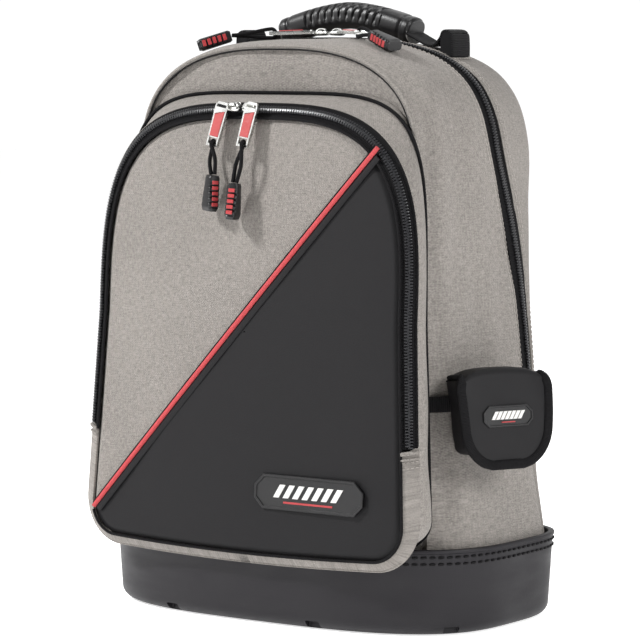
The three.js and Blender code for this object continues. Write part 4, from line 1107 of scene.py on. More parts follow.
@dataclass
class MainCompartment:
    """The two gussets round the arch, the front panel, the rolled seam and the padded back."""

    form: BagForm
    cloth: float = 2.0
    roll_radius: float = 2.3
    lip_recess: float = 1.6
    pad_thickness: float = 9.0
    pad_crown: float = 4.0

    def slack(self, x: float, y: float, z: float) -> float:
        """Returns how far the soft skin stands off its plain form at a place."""
        loose = 1.5 * ripple(x, y, z, 95) + 0.7 * ripple(x + 40, y, z, 38)
        tub_pull = smooth(z, 62, 120)
        side = smooth(abs(x), 100, 140)
        drape = 1.6 * math.sin(y / 11.0 + z / 95.0) * bell(z, 150, 75) * side
        # The cloth is drawn in beside the pocket's seam and stands off again a little further back.
        seam_y = self.form.front_seam
        drawn = 2.4 * bell(y, seam_y + 24, 10) - 4.0 * bell(y, seam_y + 10, 6)
        drawn *= 0.7 + 0.5 * ripple(7, y, z, 45)
        folds = 2.6 * ripple(0.5 * x, 1.6 * y, 0.5 * z, 34) * bell(z, 260, 190)
        sewn = smooth(y, seam_y, seam_y + 7) * (1 - smooth(y, self.form.back_seam - 7, self.form.back_seam))
        return (loose + drape + side * (drawn + folds)) * tub_pull * sewn

    def skin(self, t: float, y: float) -> Vec:
        """Returns a point of the slack skin."""
        place = self.form.at(t, y)
        return place + self.form.normal(t, y) * self.slack(*place)

    def gusset(self, name: str, node: str, from_front: bool) -> None:
        """Builds one of the two cloth strips round the arch.

        Args:
            name: the piece's name.
            node: the solid that it stands for.
            from_front: whether it runs from the front seam to the zip or from the zip to the back seam.
        """
        shape = Shape()
        form = self.form
        shares = [s ** 1.15 for s in evenly(0, 1, 26)] if from_front else evenly(0, 1, 24)
        grid = []
        for t in form.stops(46, 90):
            middle, gap = form.zip_y(t), form.zip_opening(t)
            low, high = (form.front_seam, middle - gap) if from_front else (middle + gap, form.back_seam)
            edge = high if from_front else low
            line = []
            for share in shares:
                y = mix(low, high, share)
                # The cloth is folded under along the zip, so it rolls in over its last three millimetres.
                turn_in = 1.1 * bell(y, edge, 1.6)
                line.append(self.skin(t, y) - form.normal(t, y) * turn_in)
            grid.append(line)
        shape.add_sheet(np.array(grid), self.cloth)
        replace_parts(shape.make(name, GREY_CLOTH, "grey_cloth"), node)

    def rolls(self) -> None:
        """Builds the rolled seams where the gussets meet the front panel and the back, and a black line of
        painted shade in the crease inside the front roll.
        """
        shape = Shape()
        form = self.form
        for y, drop in ((form.front_seam, 0.4), (form.back_seam - 1.0, 0.8)):
            stops = evenly(0.02, 0.98, 150)
            places = [form.at(t, y) - form.normal(t, y) * drop for t in stops]
            normals = [form.normal(t, y) for t in stops]
            shape.add_rod(places, normals, self.roll_radius, self.roll_radius, 10)
        shape.make("bag_seam_rolls", GREY_CLOTH, "grey_cloth")
        # Painted shade: a thin black thread laid in the crease inside the front roll darkens it as the
        # crease's shadow would.
        crease = Shape()
        y = form.front_seam - 1.0
        inside = form.arch(form.front_seam, self.roll_radius)
        stops = evenly(0.03, 0.97, 260)
        places = [point(x, y, z) for x, z in (form.arch_point(inside, t) for t in stops)]
        crease.add_rod(places, [form.normal(t, form.front_seam + 1) for t in stops], 0.9, 0.9, 8)
        crease.make("bag_lip_crease", BLACK_THREAD, "grey_cloth")

    def panel_grid(self, y: float, inset: float, rings: int,
                   depth_at: Callable[[float, float, float], float]) -> Vec:
        """Returns a grid that fills the arch at a depth.

        Args:
            y: the depth.
            inset: how far the grid stays inside the arch.
            rings: steps from the outline to the middle.
            depth_at: gives Y for X, Z and a share of the way out.

        Returns:
            Points by place on the outline and ring.
        """
        arch = self.form.arch(y, inset)
        outline = [self.form.arch_point(arch, t) for t in self.form.stops(30, 60)]
        foot = outline[-1][0]
        outline += [(foot * share, self.form.cloth_foot) for share in evenly(1, -1, 30)[1:-1]]
        middle = (self.form.top + self.form.cloth_foot) / 2
        grid = []
        for x, z in outline:
            line = []
            for reach in evenly(1, 0.004, rings):
                px, pz = x * reach, mix(middle, z, reach)
                line.append((px, depth_at(px, pz, reach), pz))
            grid.append(line)
        return np.array(grid)

    def front_panel(self) -> None:
        """Builds the cloth panel in the front of the arch, softly dented under the top."""
        shape = Shape()

        def depth_at(x: float, z: float, reach: float) -> float:
            """Returns the panel's depth: crowned, with a slack belly and creases that fan out."""
            crease = 1.1 * math.sin(x / 17.0 + z / 60.0) * bell(z, 440, 30)
            return (self.form.front_seam + self.lip_recess - 3.5 * (1 - reach ** 4) + crease
                    - 1.5 * ripple(x, 0, z, 60) * (1 - reach ** 6))

        grid = self.panel_grid(self.form.front_seam + 0.6, self.cloth + 0.3, 26, depth_at)
        shape.add_sheet(grid[:, ::-1], self.cloth, closed=True)
        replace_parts(shape.make("bag_front_panel", GREY_CLOTH, "grey_cloth"), "front_panel")

    def back_panel(self) -> None:
        """Builds the padded back, quilted into two long pads with a channel down the spine."""
        shape = Shape()
        form = self.form

        def depth_at(x: float, z: float, reach: float) -> float:
            """Returns the pad's depth with its sewn channels."""
            channels = max(bell(x, 0, 7), *(bell(z, height, 5) for height in (150, 245, 340)))
            edge = 1 - smooth(reach, 0.9, 1.0)
            swell = self.pad_crown * (1 - reach ** 2) + 3.0
            above_tub = smooth(z, 66, 84)
            return form.back_seam - 3.0 + above_tub * edge * (swell - 3.6 * channels)

        grid = self.panel_grid(form.back_seam - 0.4, self.cloth + 0.3, 60, depth_at)
        shape.add_sheet(grid, self.pad_thickness - 4, closed=True)
        piece = shape.make("bag_back_pad", BLACK_MESH, "pad_cloth")
        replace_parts(piece, "back_panel")

    def build(self) -> None:
        """Builds the whole compartment."""
        self.gusset("bag_gusset_front", "gusset_front", True)
        self.gusset("bag_gusset_back", "gusset_back", False)
        self.rolls()
        self.front_panel()
        self.back_panel()


@dataclass
class MainZip:
    """The long zip over the top, with its tape, coil and topstitching."""

    bag: MainCompartment
    coil_half_width: float = 3.1
    coil_pitch: float = 2.4
    coil_height: float = 2.2
    tape_thickness: float = 1.0
    tape_sink: float = 0.9
    tape_overlap: float = 1.4
    stitch_rows: tuple[float, float] = (3.6, 7.2)
    stitch: Stitching = Stitching(3.0, 1.1, 0.42)

    def build(self) -> None:
        """Builds tape, teeth and stitches."""
        form = self.bag.form
        end = form.zip_end_t + 0.004
        stops = evenly(end, 1 - end, 260)
        tape = Shape()
        reach = form.zip_half_width + self.tape_overlap
        tape.add_sheet(np.array([[form.at(t, form.zip_y(t) + share * reach)
                                  - form.normal(t, form.zip_y(t)) * self.tape_sink
                                  for share in (-1, -0.5, 0, 0.5, 1)]
                                 for t in stops]), self.tape_thickness)
        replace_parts(tape.make("main_zip_tape_dressed", ZIP_TAPE, "zip_tape"), "main_zip_tape")
        normals = [form.normal(t, form.zip_y(t)) for t in stops]
        middle = [form.at(t, form.zip_y(t)) - n * self.tape_sink for t, n in zip(stops, normals)]
        teeth = Shape()
        add_teeth(teeth, middle, normals, self.coil_half_width, self.coil_pitch, self.coil_height)
        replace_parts(teeth.make("main_zip_coil", ZIP_COIL, "zip_coil"), "main_zip_chain")
        stitches = Shape()
        for side in (-1, 1):
            for away in self.stitch_rows:
                offset = side * (form.zip_half_width + away)
                line = [self.bag.skin(t, form.zip_y(t) + offset) for t in stops]
                add_stitches(stitches, line, normals, *self.stitch)
        stitches.make("main_zip_stitches", GREY_THREAD, "grey_cloth")


@dataclass
class FrontPocket:
    """The pocket's wall, the two halves of its face, the piping, the band's edges and the badge."""

    form: PocketForm
    cloth: float = 2.0
    piping_radius: float = 1.9
    welt_half_width: float = 2.9
    # Where, how thick and how far out the black cord of painted shade along the wall's rear edge lies.
    rear_painted_shade_share: float = 0.82
    rear_painted_shade_radius: float = 1.5
    rear_painted_shade_lift: float = 1.6
    hem_stitch: Stitching = Stitching(2.4, 1.0, 0.4)
    badge_size: tuple[float, float] = (106.0, 28.0)
    badge_centre: tuple[float, float] = (69.0, 112.0)

    def wall(self) -> None:
        """Builds the cloth wall with the plain strip that runs round the foot below the zip, and a black
        line of painted shade along its rear edge.
        """
        form = self.form
        shape = Shape()
        grid = []
        for q in rim_stops(14, 14, 30, 50):
            line = []
            low = 0.97 if form.beside_zip(q) else 0.02
            for share in evenly(low, 1.0, 7):
                line.append(form.band_point(q, share))
            for share in evenly(0, 1, 18)[1:]:
                place = form.wall_point(q, share)
                belly = math.sin(math.pi * share)
                waves = math.sin(place[2] / 16.0 + share * 3) * bell(place[2], 140, 70)
                slack = 0.9 * (ripple(*place, 40) + waves)
                line.append(place + point(math.copysign(1.0, place[0]), 0, 0) * slack * belly
                            * min(1.0, abs(place[0]) / 100))
            grid.append(line)
        shape.add_sheet(np.array(grid), self.cloth, closed=True)
        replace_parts(shape.make("pocket_wall", GREY_CLOTH, "grey_cloth"), "pocket_gusset")
        # Painted shade: a black cord along the wall's rear edge stands in for the shadow in the groove
        # between the pocket and the bag's side.
        seam = Shape()
        stops = evenly(1.1, 6.9, 300)
        normals = [unit(form.wall_point(q, 0.8) * point(1, 0, 1) - point(0, 0, form.spring)) for q in stops]
        places = [form.wall_point(q, self.rear_painted_shade_share) + normal * self.rear_painted_shade_lift
                  for q, normal in zip(stops, normals)]
        seam.add_rod(places, normals, self.rear_painted_shade_radius, self.rear_painted_shade_radius, 8)
        seam.make("pocket_rear_seam", BLACK_BINDING, "black_cloth")

    def zip_hems(self) -> None:
        """Builds the folded and stitched cloth over the zip's two low ends."""
        form = self.form
        hems, thread = Shape(), Shape()
        shares = evenly(0.0, 1.0, 16)
        for end, step in ((form.zip_end_q, -1), (8 - form.zip_end_q, 1)):
            for away, radius in ((0.0, 1.7), (0.03, 1.0)):
                q = end + step * away
                line = [form.band_point(q, share) + form.band_normal(q) * 0.6 for share in shares]
                hems.add_rod(line, [form.band_normal(q)] * len(shares), radius, radius, 8)
            for away in (0.045, 0.075):
                q = end + step * away
                line = [form.band_point(q, share) + form.band_normal(q) * 0.3 for share in shares]
                add_stitches(thread, line, [form.band_normal(q)] * len(shares), *self.hem_stitch)
        hems.make("zip_end_hems", GREY_CLOTH, "grey_cloth")
        thread.make("zip_end_stitches", GREY_THREAD, "grey_cloth")

    def face_depth(self, x: float, z: float, reach: float) -> float:
        """Returns the face's depth with its slack and its rolled edge."""
        form = self.form
        roll = 2.2 * smooth(reach, 0.965, 1.0) ** 2
        dent = 1.2 * ripple(x, 0, z, 110) * (1 - reach ** 4)
        hang = 1.0 * math.sin(x / 30.0) * bell(z, 120, 60) * (1 - reach ** 4)
        return form.face_y(x, z) - 1.2 * (1 - reach ** 3) + roll + dent + hang

    def face_half(self, name: str, node: str, finish: Finish, slot: str, above: bool) -> None:
        """Builds one half of the face by cutting the whole face along the diagonal.

        Args:
            name: the piece's name.
            node: the solid that it stands for.
            finish: what it is made of.
            slot: the record's material slot.
            above: whether it is the half above the diagonal.
        """
        form = self.form
        middle = (form.top + form.bottom) / 2
        reaches = [*evenly(1, 0.9, 10), *evenly(0.9, 0.004, 36)[1:]]
        grid = []
        for q in rim_stops(16, 16, 24, 40):
            edge_x, edge_z = form.outline(q, form.band + form.face_inset)
            line = []
            for reach in reaches:
                x, z = edge_x * reach, mix(middle, edge_z, reach)
                line.append((x, self.face_depth(x, z, reach), z))
            grid.append(line)
        shape = Shape()
        points = np.array(grid)[:, ::-1]
        shape.add_sheet(points, self.cloth, closed=True)
        flat = points[:, :, [0, 2]].reshape(-1, 2) * MM
        shape.uvs[0] = np.concatenate((flat, flat))
        piece = shape.make(name, finish, slot)
        run = form.diagonal_run
        cutter = bmesh.new()
        cutter.from_mesh(piece.data)
        side = Vector((-math.sin(run), 0, math.cos(run))) * (-1 if above else 1)
        place = Vector((form.diagonal_start[0], 0, form.diagonal_start[1])) * MM
        cut = bmesh.ops.bisect_plane(cutter, geom=[*cutter.verts, *cutter.edges, *cutter.faces],
                                     plane_co=place, plane_no=side, clear_outer=True, dist=1e-7)
        edges = [e for e in cut["geom_cut"] if isinstance(e, bmesh.types.BMEdge)]
        bmesh.ops.holes_fill(cutter, edges=edges, sides=0)
        bmesh.ops.recalc_face_normals(cutter, faces=cutter.faces)
        cutter.to_mesh(piece.data)
        cutter.free()
        piece.data.set_sharp_from_angle(angle=math.radians(40))
        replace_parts(piece, node)

    def diagonal(self) -> None:
        """Builds the red piping, the dark seam above it and the welt below it."""
        form = self.form
        shares = evenly(0.001, 0.999, 90)
        piping = Shape()
        radius = self.piping_radius
        piping.add_rod([form.diagonal(s, 0, radius + 0.6) for s in shares], [FRONT] * len(shares), radius,
                       radius)
        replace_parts(piping.make("face_piping", RED_PIPING, "red_piping"), "pocket_piping")
        seam = Shape()
        inner = evenly(0.004, 0.985, 90)
        fronts = [FRONT] * len(inner)
        seam.add_rod([form.diagonal(s, -radius - 0.9, 1.3) for s in inner], fronts, 0.9, 0.9, 8)
        seam.make("face_seam_line", BLACK_BINDING, "black_cloth")
        welt = Shape()
        half = self.welt_half_width
        welt.add_rod([form.diagonal(s, radius + half, 1.6) for s in inner], fronts, half, 1.0, 12, 2.6)
        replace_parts(welt.make("face_welt", BLACK_COATED, "black_cloth"), "pocket_welt")

    def edges(self) -> None:
        """Builds the narrow black fold between the face and the band."""
        form = self.form
        # The grey half runs straight into the band under the left end of the zip, so the fold stops there.
        stops = [q % 8 for q in evenly(form.zip_end_q, 9.8, 360)]
        fold = Shape()
        fold.add_rod([form.band_point(q, 0.0) + FRONT * 0.4 for q in stops],
                     [unit(form.band_normal(max(q, 0.02))) for q in stops], 1.3, 1.2, 8)
        fold.make("face_edge_fold", BLACK_BINDING, "black_cloth")

    def badge(self) -> None:
        """Builds the octagonal badge: a rim round a sunk field with slanted bars and a thin red line."""
        form = self.form
        x, z = self.badge_centre
        lean = unit(point(0, form.face_lean, 1))
        placing = Placing(point(x, form.face_y(x, z) - 1.4, z), RIGHT, lean, np.cross(RIGHT, lean))
        Badge(placing, *self.badge_size, "pocket_badge_dressed", "pocket_badge").build()

    def build(self) -> None:
        """Builds the pocket."""
        self.wall()
        self.zip_hems()
        self.face_half("face_grey_half", "pocket_face_grey", GREY_CLOTH, "grey_cloth", True)
        self.face_half("face_black_half", "pocket_face_black", BLACK_COATED, "black_cloth", False)
        self.diagonal()
        self.edges()
        self.badge()


@dataclass
class Badge:
    """A moulded octagonal badge in a frame whose X is its length, Y its height and Z its outward normal."""

    placing: Placing
    width: float
    height: float
    name: str
    node: str
    rim: float = 2.0
    thickness: float = 2.0
    drawn_width: float = 106.0
    drawn_height: float = 28.0
    bars: int = 7
    bar_slant: float = 3.2
    bar_foot: float = -4.2
    bar_top: float = 6.4
    bar_half_width: float = 2.6
    bar_pitch: float = 9.4
    line_half_length: float = 24.0

    def octagon(self, inset: float) -> list[tuple[float, float]]:
        """Returns the badge's outline moved inward."""
        half_x, half_y = self.width / 2 - inset, self.height / 2 - inset
        cut = self.height * 0.3 - inset * 0.4
        quarter = [(half_x - cut, half_y), (half_x, half_y - cut)]
        right = quarter + [(x, -y) for x, y in quarter[::-1]]
        return right + [(-x, y) for x, y in right[::-1]]

    def build(self) -> None:
        """Builds the badge's body and its marks."""
        body = Shape()
        rows = [(0.0, 0.0), (0.0, self.thickness - 0.5), (0.5, self.thickness), (self.rim, self.thickness),
                (self.rim + 0.4, self.thickness - 0.9)]
        body.add_loft([self.placing.at([(px, py, z) for px, py in self.octagon(inset)])
                       for inset, z in rows])
        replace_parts(body.make(self.name, BADGE_RUBBER, "badge_rubber", 25), self.node)
        scale = self.height / self.drawn_height
        bars = Shape()
        floor = self.thickness - 1.0
        slant = self.bar_slant * scale
        for index in range(self.bars):
            middle = (index - self.bars // 2) * self.bar_pitch * scale * self.width / self.height / 3.8
            low, high = self.bar_foot * scale, self.bar_top * scale
            half = self.bar_half_width * scale
            ring = [(middle - half - slant, low), (middle + half - slant, low),
                    (middle + half + slant, high),
                    (middle - half + slant, high)]
            bars.add_loft([self.placing.at([(px, py, floor + lift) for px, py in ring])
                           for lift in (0.0, 0.8)])
        bars.make(self.name + "_bars", PALE_PRINT, "badge_rubber", 25)
        line = Shape()
        reach = self.line_half_length * scale * self.width / self.drawn_width
        line.add_block(self.placing, (-reach, -8.6 * scale, floor), (reach, -7.0 * scale, floor + 0.7), 0.2)
        line.make(self.name + "_line", RED_RUBBER, "badge_rubber", 25)


@dataclass
class PocketZip:
    """The zip round the pocket's face: a ridged tape and its coil."""

    form: PocketForm
    coil_half_width: float = 3.1
    coil_pitch: float = 2.4
    coil_height: float = 2.2
    tape_thickness: float = 1.0
    ridges: int = 5
    ridge_height: float = 0.35

    def build(self) -> None:
        """Builds the tape and the coil."""
        form = self.form
        start = form.zip_end_q + 0.02
        half = [*evenly(start, 3, 50), *evenly(3, 4, 80)[1:]]
        stops = half + [8 - q for q in half[:-1]][::-1]
        tape = Shape()
        shares = evenly(0.02, 0.97, 28)
        grid = []
        for q in stops:
            normal = form.band_normal(q)
            line = []
            for share in shares:
                ridge = self.ridge_height * math.cos(2 * math.pi * (share - 0.5) * self.ridges)
                line.append(form.band_point(q, share) + normal * (ridge - 0.1))
            grid.append(line)
        tape.add_sheet(np.array(grid), self.tape_thickness)
        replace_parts(tape.make("pocket_zip_tape_dressed", ZIP_TAPE, "zip_tape"), "pocket_zip_tape")
        teeth = Shape()
        add_teeth(teeth, [form.band_point(q, 0.5) + form.band_normal(q) * 0.2 for q in stops],
                  [form.band_normal(q) for q in stops], self.coil_half_width, self.coil_pitch,
                  self.coil_height)
        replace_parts(teeth.make("pocket_zip_coil", ZIP_COIL, "zip_coil"), "pocket_zip_chain")


@dataclass
class BaseTub:
    """The moulded base with its rim, its notched foot and two rows of thick stitches."""

    form: TubForm
    floor: float = 9.0
    notch: tuple[float, float, float] = (13.0, 8.0, 7.0)
    stitch_rows: tuple[float, float] = (6.0, 11.5)
    stitch: Stitching = Stitching(5.2, 1.9, 1.1)
    notch_places: tuple[float, ...] = (-0.45, 0.32, 0.9)

    def front_y(self, x: float) -> float:
        """Returns the depth of the tub's front at a place along X."""
        form = self.form
        share = 1 - abs(x / form.half_width) ** form.front_power
        return form.middle_y - form.front_depth * share ** (1 / form.front_power)

    def build(self) -> None:
        """Builds the tub and its stitches."""
        form = self.form
        height, draft, foot = form.height, form.draft, form.foot_radius
        rows = [(foot, 0.0)]
        rows += [(foot * (1 - math.sin(a)), foot * (1 - math.cos(a))) for a in evenly(0, math.pi / 2, 8)[1:]]
        rows += [(0.0, z) for z in (0.3 * height, 0.55 * height, 0.8 * height)]
        rows += [(0.0, height - 3.4), (-0.9, height - 2.8), (-1.0, height - 1.2), (-0.5, height - 0.3),
                 (0.4, height), (form.wall - 0.4, height), (form.wall, height - 0.5)]
        rings = [form.ring(inward + draft * (1 - z / height), z) for inward, z in rows]
        rings += [form.ring(form.wall + draft * 0.5, 0.5 * height),
                  form.ring(form.wall + draft + 3, self.floor + 4),
                  form.ring(form.wall + draft + foot, self.floor)]
        shape = Shape()
        shape.add_loft(rings)
        tub = shape.make("moulded_base", TUB_PLASTIC, "tub_plastic")
        self.cut_notches(tub)
        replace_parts(tub, "base_tub")
        thread = Shape()
        for down in self.stitch_rows:
            ring = form.ring(-0.1 + draft * down / height, height - down, 360)
            normals = [unit(point(p[0] / form.half_width, (p[1] - form.middle_y) / form.back_depth, 0))
                       for p in ring]
            add_stitches(thread, list(ring), normals, *self.stitch, closed=True)
        thread.make("base_stitches", BLACK_THREAD, "webbing")

    def cut_notches(self, tub: Piece) -> None:
        """Cuts the drain notches out of the foot's edge."""
        form = self.form
        shape = Shape()
        width, depth, height = self.notch
        for share in self.notch_places:
            x = share * form.half_width
            lean = math.atan((self.front_y(x + 1) - self.front_y(x - 1)) / 2)
            along = point(math.cos(lean), math.sin(lean), 0)
            placing = Placing(point(x, self.front_y(x) + form.draft, 0), along, np.cross(UP, along), UP)
            shape.add_block(placing, (-width / 2, -depth, -height), (width / 2, depth, height), 0.8)
            back = point(x if abs(share) < 0.8 else 0.0, form.middle_y + form.back_depth - form.draft, 0)
            shape.add_block(Placing(back, point(1, 0, 0), point(0, 1, 0), UP), (-width / 2, -depth, -height),
                            (width / 2, depth, height), 0.8)
        cutter = shape.make("notch_cutter", TUB_PLASTIC, "tub_plastic")
        cut = tub.modifiers.new("notches", "BOOLEAN")
        cut.object = cutter
        cut.operation = "DIFFERENCE"
        cut.solver = "EXACT"
        settle(tub)
        bpy.data.objects.remove(cutter, do_unlink=True)
        tub.data.set_sharp_from_angle(angle=math.radians(40))


def settle(piece: Piece) -> None:
    """Applies a piece's modifiers to its mesh."""
    graph = bpy.context.evaluated_depsgraph_get()
    mesh = bpy.data.meshes.new_from_object(piece.evaluated_get(graph))
    piece.modifiers.clear()
    piece.data = mesh


@dataclass
class CarryHandle:
    """The ribbed grip over the top, with webbing out of both ends that is sewn down as a block."""

    bag: BagForm
    y: float = 7.0
    half_length: float = 66.0
    top: float = 506.0
    height: float = 22.5
    depth: float = 27.0
    drop: float = 14.0
    bend: float = 1.6
    webbing: float = 27.0
    block_inner: float = 98.0
    block_outer: float = 110.0
    block_height: float = 20.0
    rib_pitch: float = 7.0
    rib_reach: float = 39.0
    stitch: Stitching = Stitching(2.6, 1.0, 0.45)

    def centre(self, x: float) -> float:
        """Returns the height of the grip's middle line."""
        return self.top - self.height / 2 - self.drop * abs(x / self.half_length) ** self.bend

    def grip(self) -> None:
        """Builds the grip with finger ribs over its top and a collar at each end, with a grey ring of
        painted highlight on each collar's edge.
        """
        stops = evenly(-self.half_length, self.half_length, 330)
        rings = []
        places = [point(x, self.y, self.centre(x)) for x in stops]
        for x, placing in zip(stops, frames_along(places, [UP] * len(stops))):
            edge = self.half_length - abs(x)
            size = 1.0 - 0.16 * (1 - smooth(edge, 0.0, 3.5)) - 0.07 * bell(edge, 9.5, 1.6)
            ring = []
            for across, lift in round_section(self.depth / 2 * size, self.height / 2 * size, 40, 2.5):
                over = smooth(lift / (self.height / 2), -0.5, 0.1)
                wave = math.sin(2 * math.pi * (x + 0.35 * across) / self.rib_pitch)
                cut = 0.16 * over * smooth(wave, -0.1, 0.5) * smooth(self.rib_reach - abs(x), 0, 2)
                ring.append(placing.origin + (placing.y * across + placing.z * lift) * (1 - cut))
            rings.append(ring)
        shape = Shape()
        shape.add_loft(rings)
        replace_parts(shape.make("carry_grip", GRIP_RUBBER, "grip_rubber", 50), "handle_grip")
        # Painted highlight: the grey rings near both ends stand in for the light caught on the collars'
        # edges.
        ends = Shape()
        rim = round_section(self.depth * 0.455, self.height * 0.455, 40, 2.5)
        for side in (-1, 1):
            low, high = sorted(side * (self.half_length - away) for away in (2.6, 1.4))
            ends.add_loft([[point(x, self.y + across, self.centre(x) + lift) for across, lift in rim]
                           for x in (low, high)])
        ends.make("grip_end_rims", PAINTED_HIGHLIGHT_RUBBER, "grip_rubber")

    def strap(self, side: int) -> None:
        """Builds the webbing from one end of the grip into its sewn block.

        Args:
            side: -1 for the left end and 1 for the right one.
        """
        flat = self.centre(self.half_length)
        inner, outer = self.block_inner, self.block_outer

        def cloth(x: float) -> float:
            """Returns the height of the bag's cloth under the webbing."""
            return self.bag.top_at(x, self.y) + 1.4

        top = cloth(inner) + self.block_height - 3.4
        dip = [mix(self.half_length, inner, share) for share in (0.3, 0.55, 0.8)]
        lie = [(self.half_length - 2, flat - 1), (dip[0], cloth(dip[0]) + 3.4),
               (dip[1], cloth(dip[1]) + 1.6),
               (dip[2], cloth(dip[2]) + 3.2), (inner - 0.3, cloth(inner) + 0.55 * self.block_height),
               (inner + 2.4, top - 0.4), (outer - 4.5, top - 0.2), (outer - 1.2, top - 3.4),
               (outer - 0.4, mix(top, cloth(outer), 0.5)), (outer - 0.4, cloth(outer) + 0.6)]
        run = smooth_run([(side * x, self.y, z) for x, z in lie], 0.8)
        shape = Shape()
        shape.add_rod(list(run), [point(-side * 0.6, 0, 1)] * len(run), self.webbing / 2, 1.2, 16, 5)
        half = self.webbing / 2 - 0.5
        # The webbing is folded over itself, so the block is solid between its top and its foot.
        profile = [(inner + 0.4, cloth(inner)), (outer - 0.8, cloth(outer)), (outer - 0.8, top - 5),
                   (outer - 3, top - 1.4), (outer - 5, top - 0.6), (inner + 3, top - 0.6),
                   (inner + 0.4, top - 4)]
        shape.add_loft([[point(side * x, self.y + across, z) for x, z in profile]
                        for across in (-half, half)])
        name = "left" if side < 0 else "right"
        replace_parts(shape.make(f"handle_webbing_{name}", BLACK_WEBBING, "webbing"), f"handle_strap_{name}")
        thread = Shape()
        line = [point(side * (outer + 2.5), self.y + across, cloth(outer + 2.5) + 0.3)
                for across in evenly(-14, 14, 12)]
        add_stitches(thread, line, [self.bag.top_normal(side * outer, self.y)] * len(line), *self.stitch)
        thread.make(f"handle_block_stitches_{name}", GREY_THREAD, "grey_cloth")

    def build(self) -> None:
        """Builds the handle."""
        self.grip()
        self.strap(-1)
        self.strap(1)


class StrapStop(NamedTuple):
    """A station of a shoulder strap, from its top anchor (order 0) to its low end (1), as shares."""

    order: float
    height: float
    out: float
    back: float
    width: float


STRAP_STOPS = (
    StrapStop(0.0, 0.93, 0.3, 0.0, 0.8),
    StrapStop(0.15, 0.905, 0.36, 0.62, 0.9),
    StrapStop(0.3, 0.86, 0.4, 0.9, 1.0),
    StrapStop(0.5, 0.77, 0.43, 1.0, 1.0),
    StrapStop(0.7, 0.64, 0.45, 1.0, 0.96),
    StrapStop(0.86, 0.51, 0.46, 0.95, 0.9),
    StrapStop(1.0, 0.4, 0.47, 0.8, 0.78),
)


@dataclass
class ShoulderStraps:
    """The two padded straps with their edge binding, ladder buckles and webbing down to the base."""

    bag: BagForm
    width: float = 62.0
    thickness: float = 10.0
    stand_off: float = 13.0
    pad_crown: float = 4.0
    webbing: float = 25.0

    def station(self, share: float, side: int) -> tuple[Vec, float]:
        """Returns the middle of the strap and its width at a share of its run."""
        height, out, back, width = (read_column(STRAP_STOPS, "order", name, share)
                                    for name in ("height", "out", "back", "width"))
        y = self.bag.back_seam + self.pad_crown + 0.3 + self.thickness / 2 + self.stand_off * back
        return point(side * self.bag.half_width * out, y, self.bag.top * height), self.width * width

    def section(self, share: float, side: int, trim: float, half_height: float) -> Section:
        """Returns the padded strap's section at a share of its run, trimmed at both edges."""
        return round_section(self.station(share, side)[1] / 2 - trim, half_height, 28, 2.6)

    def build(self) -> None:
        """Builds both straps."""
        for side, name in ((-1, "left"), (1, "right")):
            stations = [self.station(share, side) for share in evenly(0, 1, 60)]
            places = [place for place, _ in stations]
            normals = [point(0, 1, 0)] * len(places)
            pad = Shape()
            pad.add_sweep(places, normals,
                          lambda share: self.section(share, side, 1.0, self.thickness / 2 + 0.6))
            piece = pad.make(f"strap_pad_{name}", BLACK_MESH, "pad_cloth")
            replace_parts(piece, f"shoulder_pad_{name}")
            edge = Shape()
            for hand in (-1, 1):
                frames = frames_along(places, normals)
                line = [f.origin + f.y * hand * (w / 2 - 0.5) for f, (_, w) in zip(frames, stations)]
                edge.add_rod(line, normals, 2.2, 2.6, 10)
            edge.make(f"strap_binding_{name}", BLACK_BINDING, "webbing")
            cover = Shape()
            cover.add_sweep([place + point(0, 1.6, 0) for place in places], normals,
                            lambda share: self.section(share, side, 0.6, self.thickness / 2 - 0.2))
            cover.make(f"strap_cover_{name}", GREY_CLOTH, "grey_cloth")
            tab_place, tab_width = self.station(0.3, side)
            tab = Shape()
            tab_placing = Placing(tab_place + RIGHT * side * tab_width / 2, RIGHT, UP, FRONT)
            tab.add_block(tab_placing, (-2.5, -6, -1.2), (2.5, 6, 1.2), 0.4)
            tab.make(f"strap_tab_{name}", RED_PIPING, "red_piping")
            dress_node(f"strap_buckle_{name}", BUCKLE_PLASTIC)
            dress_node(f"strap_webbing_{name}", BLACK_WEBBING)


def dress_node(node: str, finish: Finish) -> None:
    """Gives a carried-over solid its finish."""
    solid = frame["nodes"][node]
    for slot in solid.material_slots:
        slot.material = finish.material()
    if not solid.material_slots:
        solid.data.materials.append(finish.material())


class CordStop(NamedTuple):
    """A point of one side of a pull's cord loop: a share of the way and places in millimetres.

    Past counts back from the puller's end.
    """

    share: float
    past: float
    across: float
    lift: float


CORD_LOOP = (
    CordStop(0.0, 0.0, 1.8, 0.0), CordStop(0.2, 0.0, 2.5, 0.4), CordStop(0.5, 0.0, 3.6, 1.4),
    CordStop(0.8, 0.0, 3.1, 3.0), CordStop(1.0, 0.0, 1.9, 3.6), CordStop(1.0, 2.7, 1.0, 3.4),
    CordStop(1.0, 4.9, 0.0, 0.0),
)


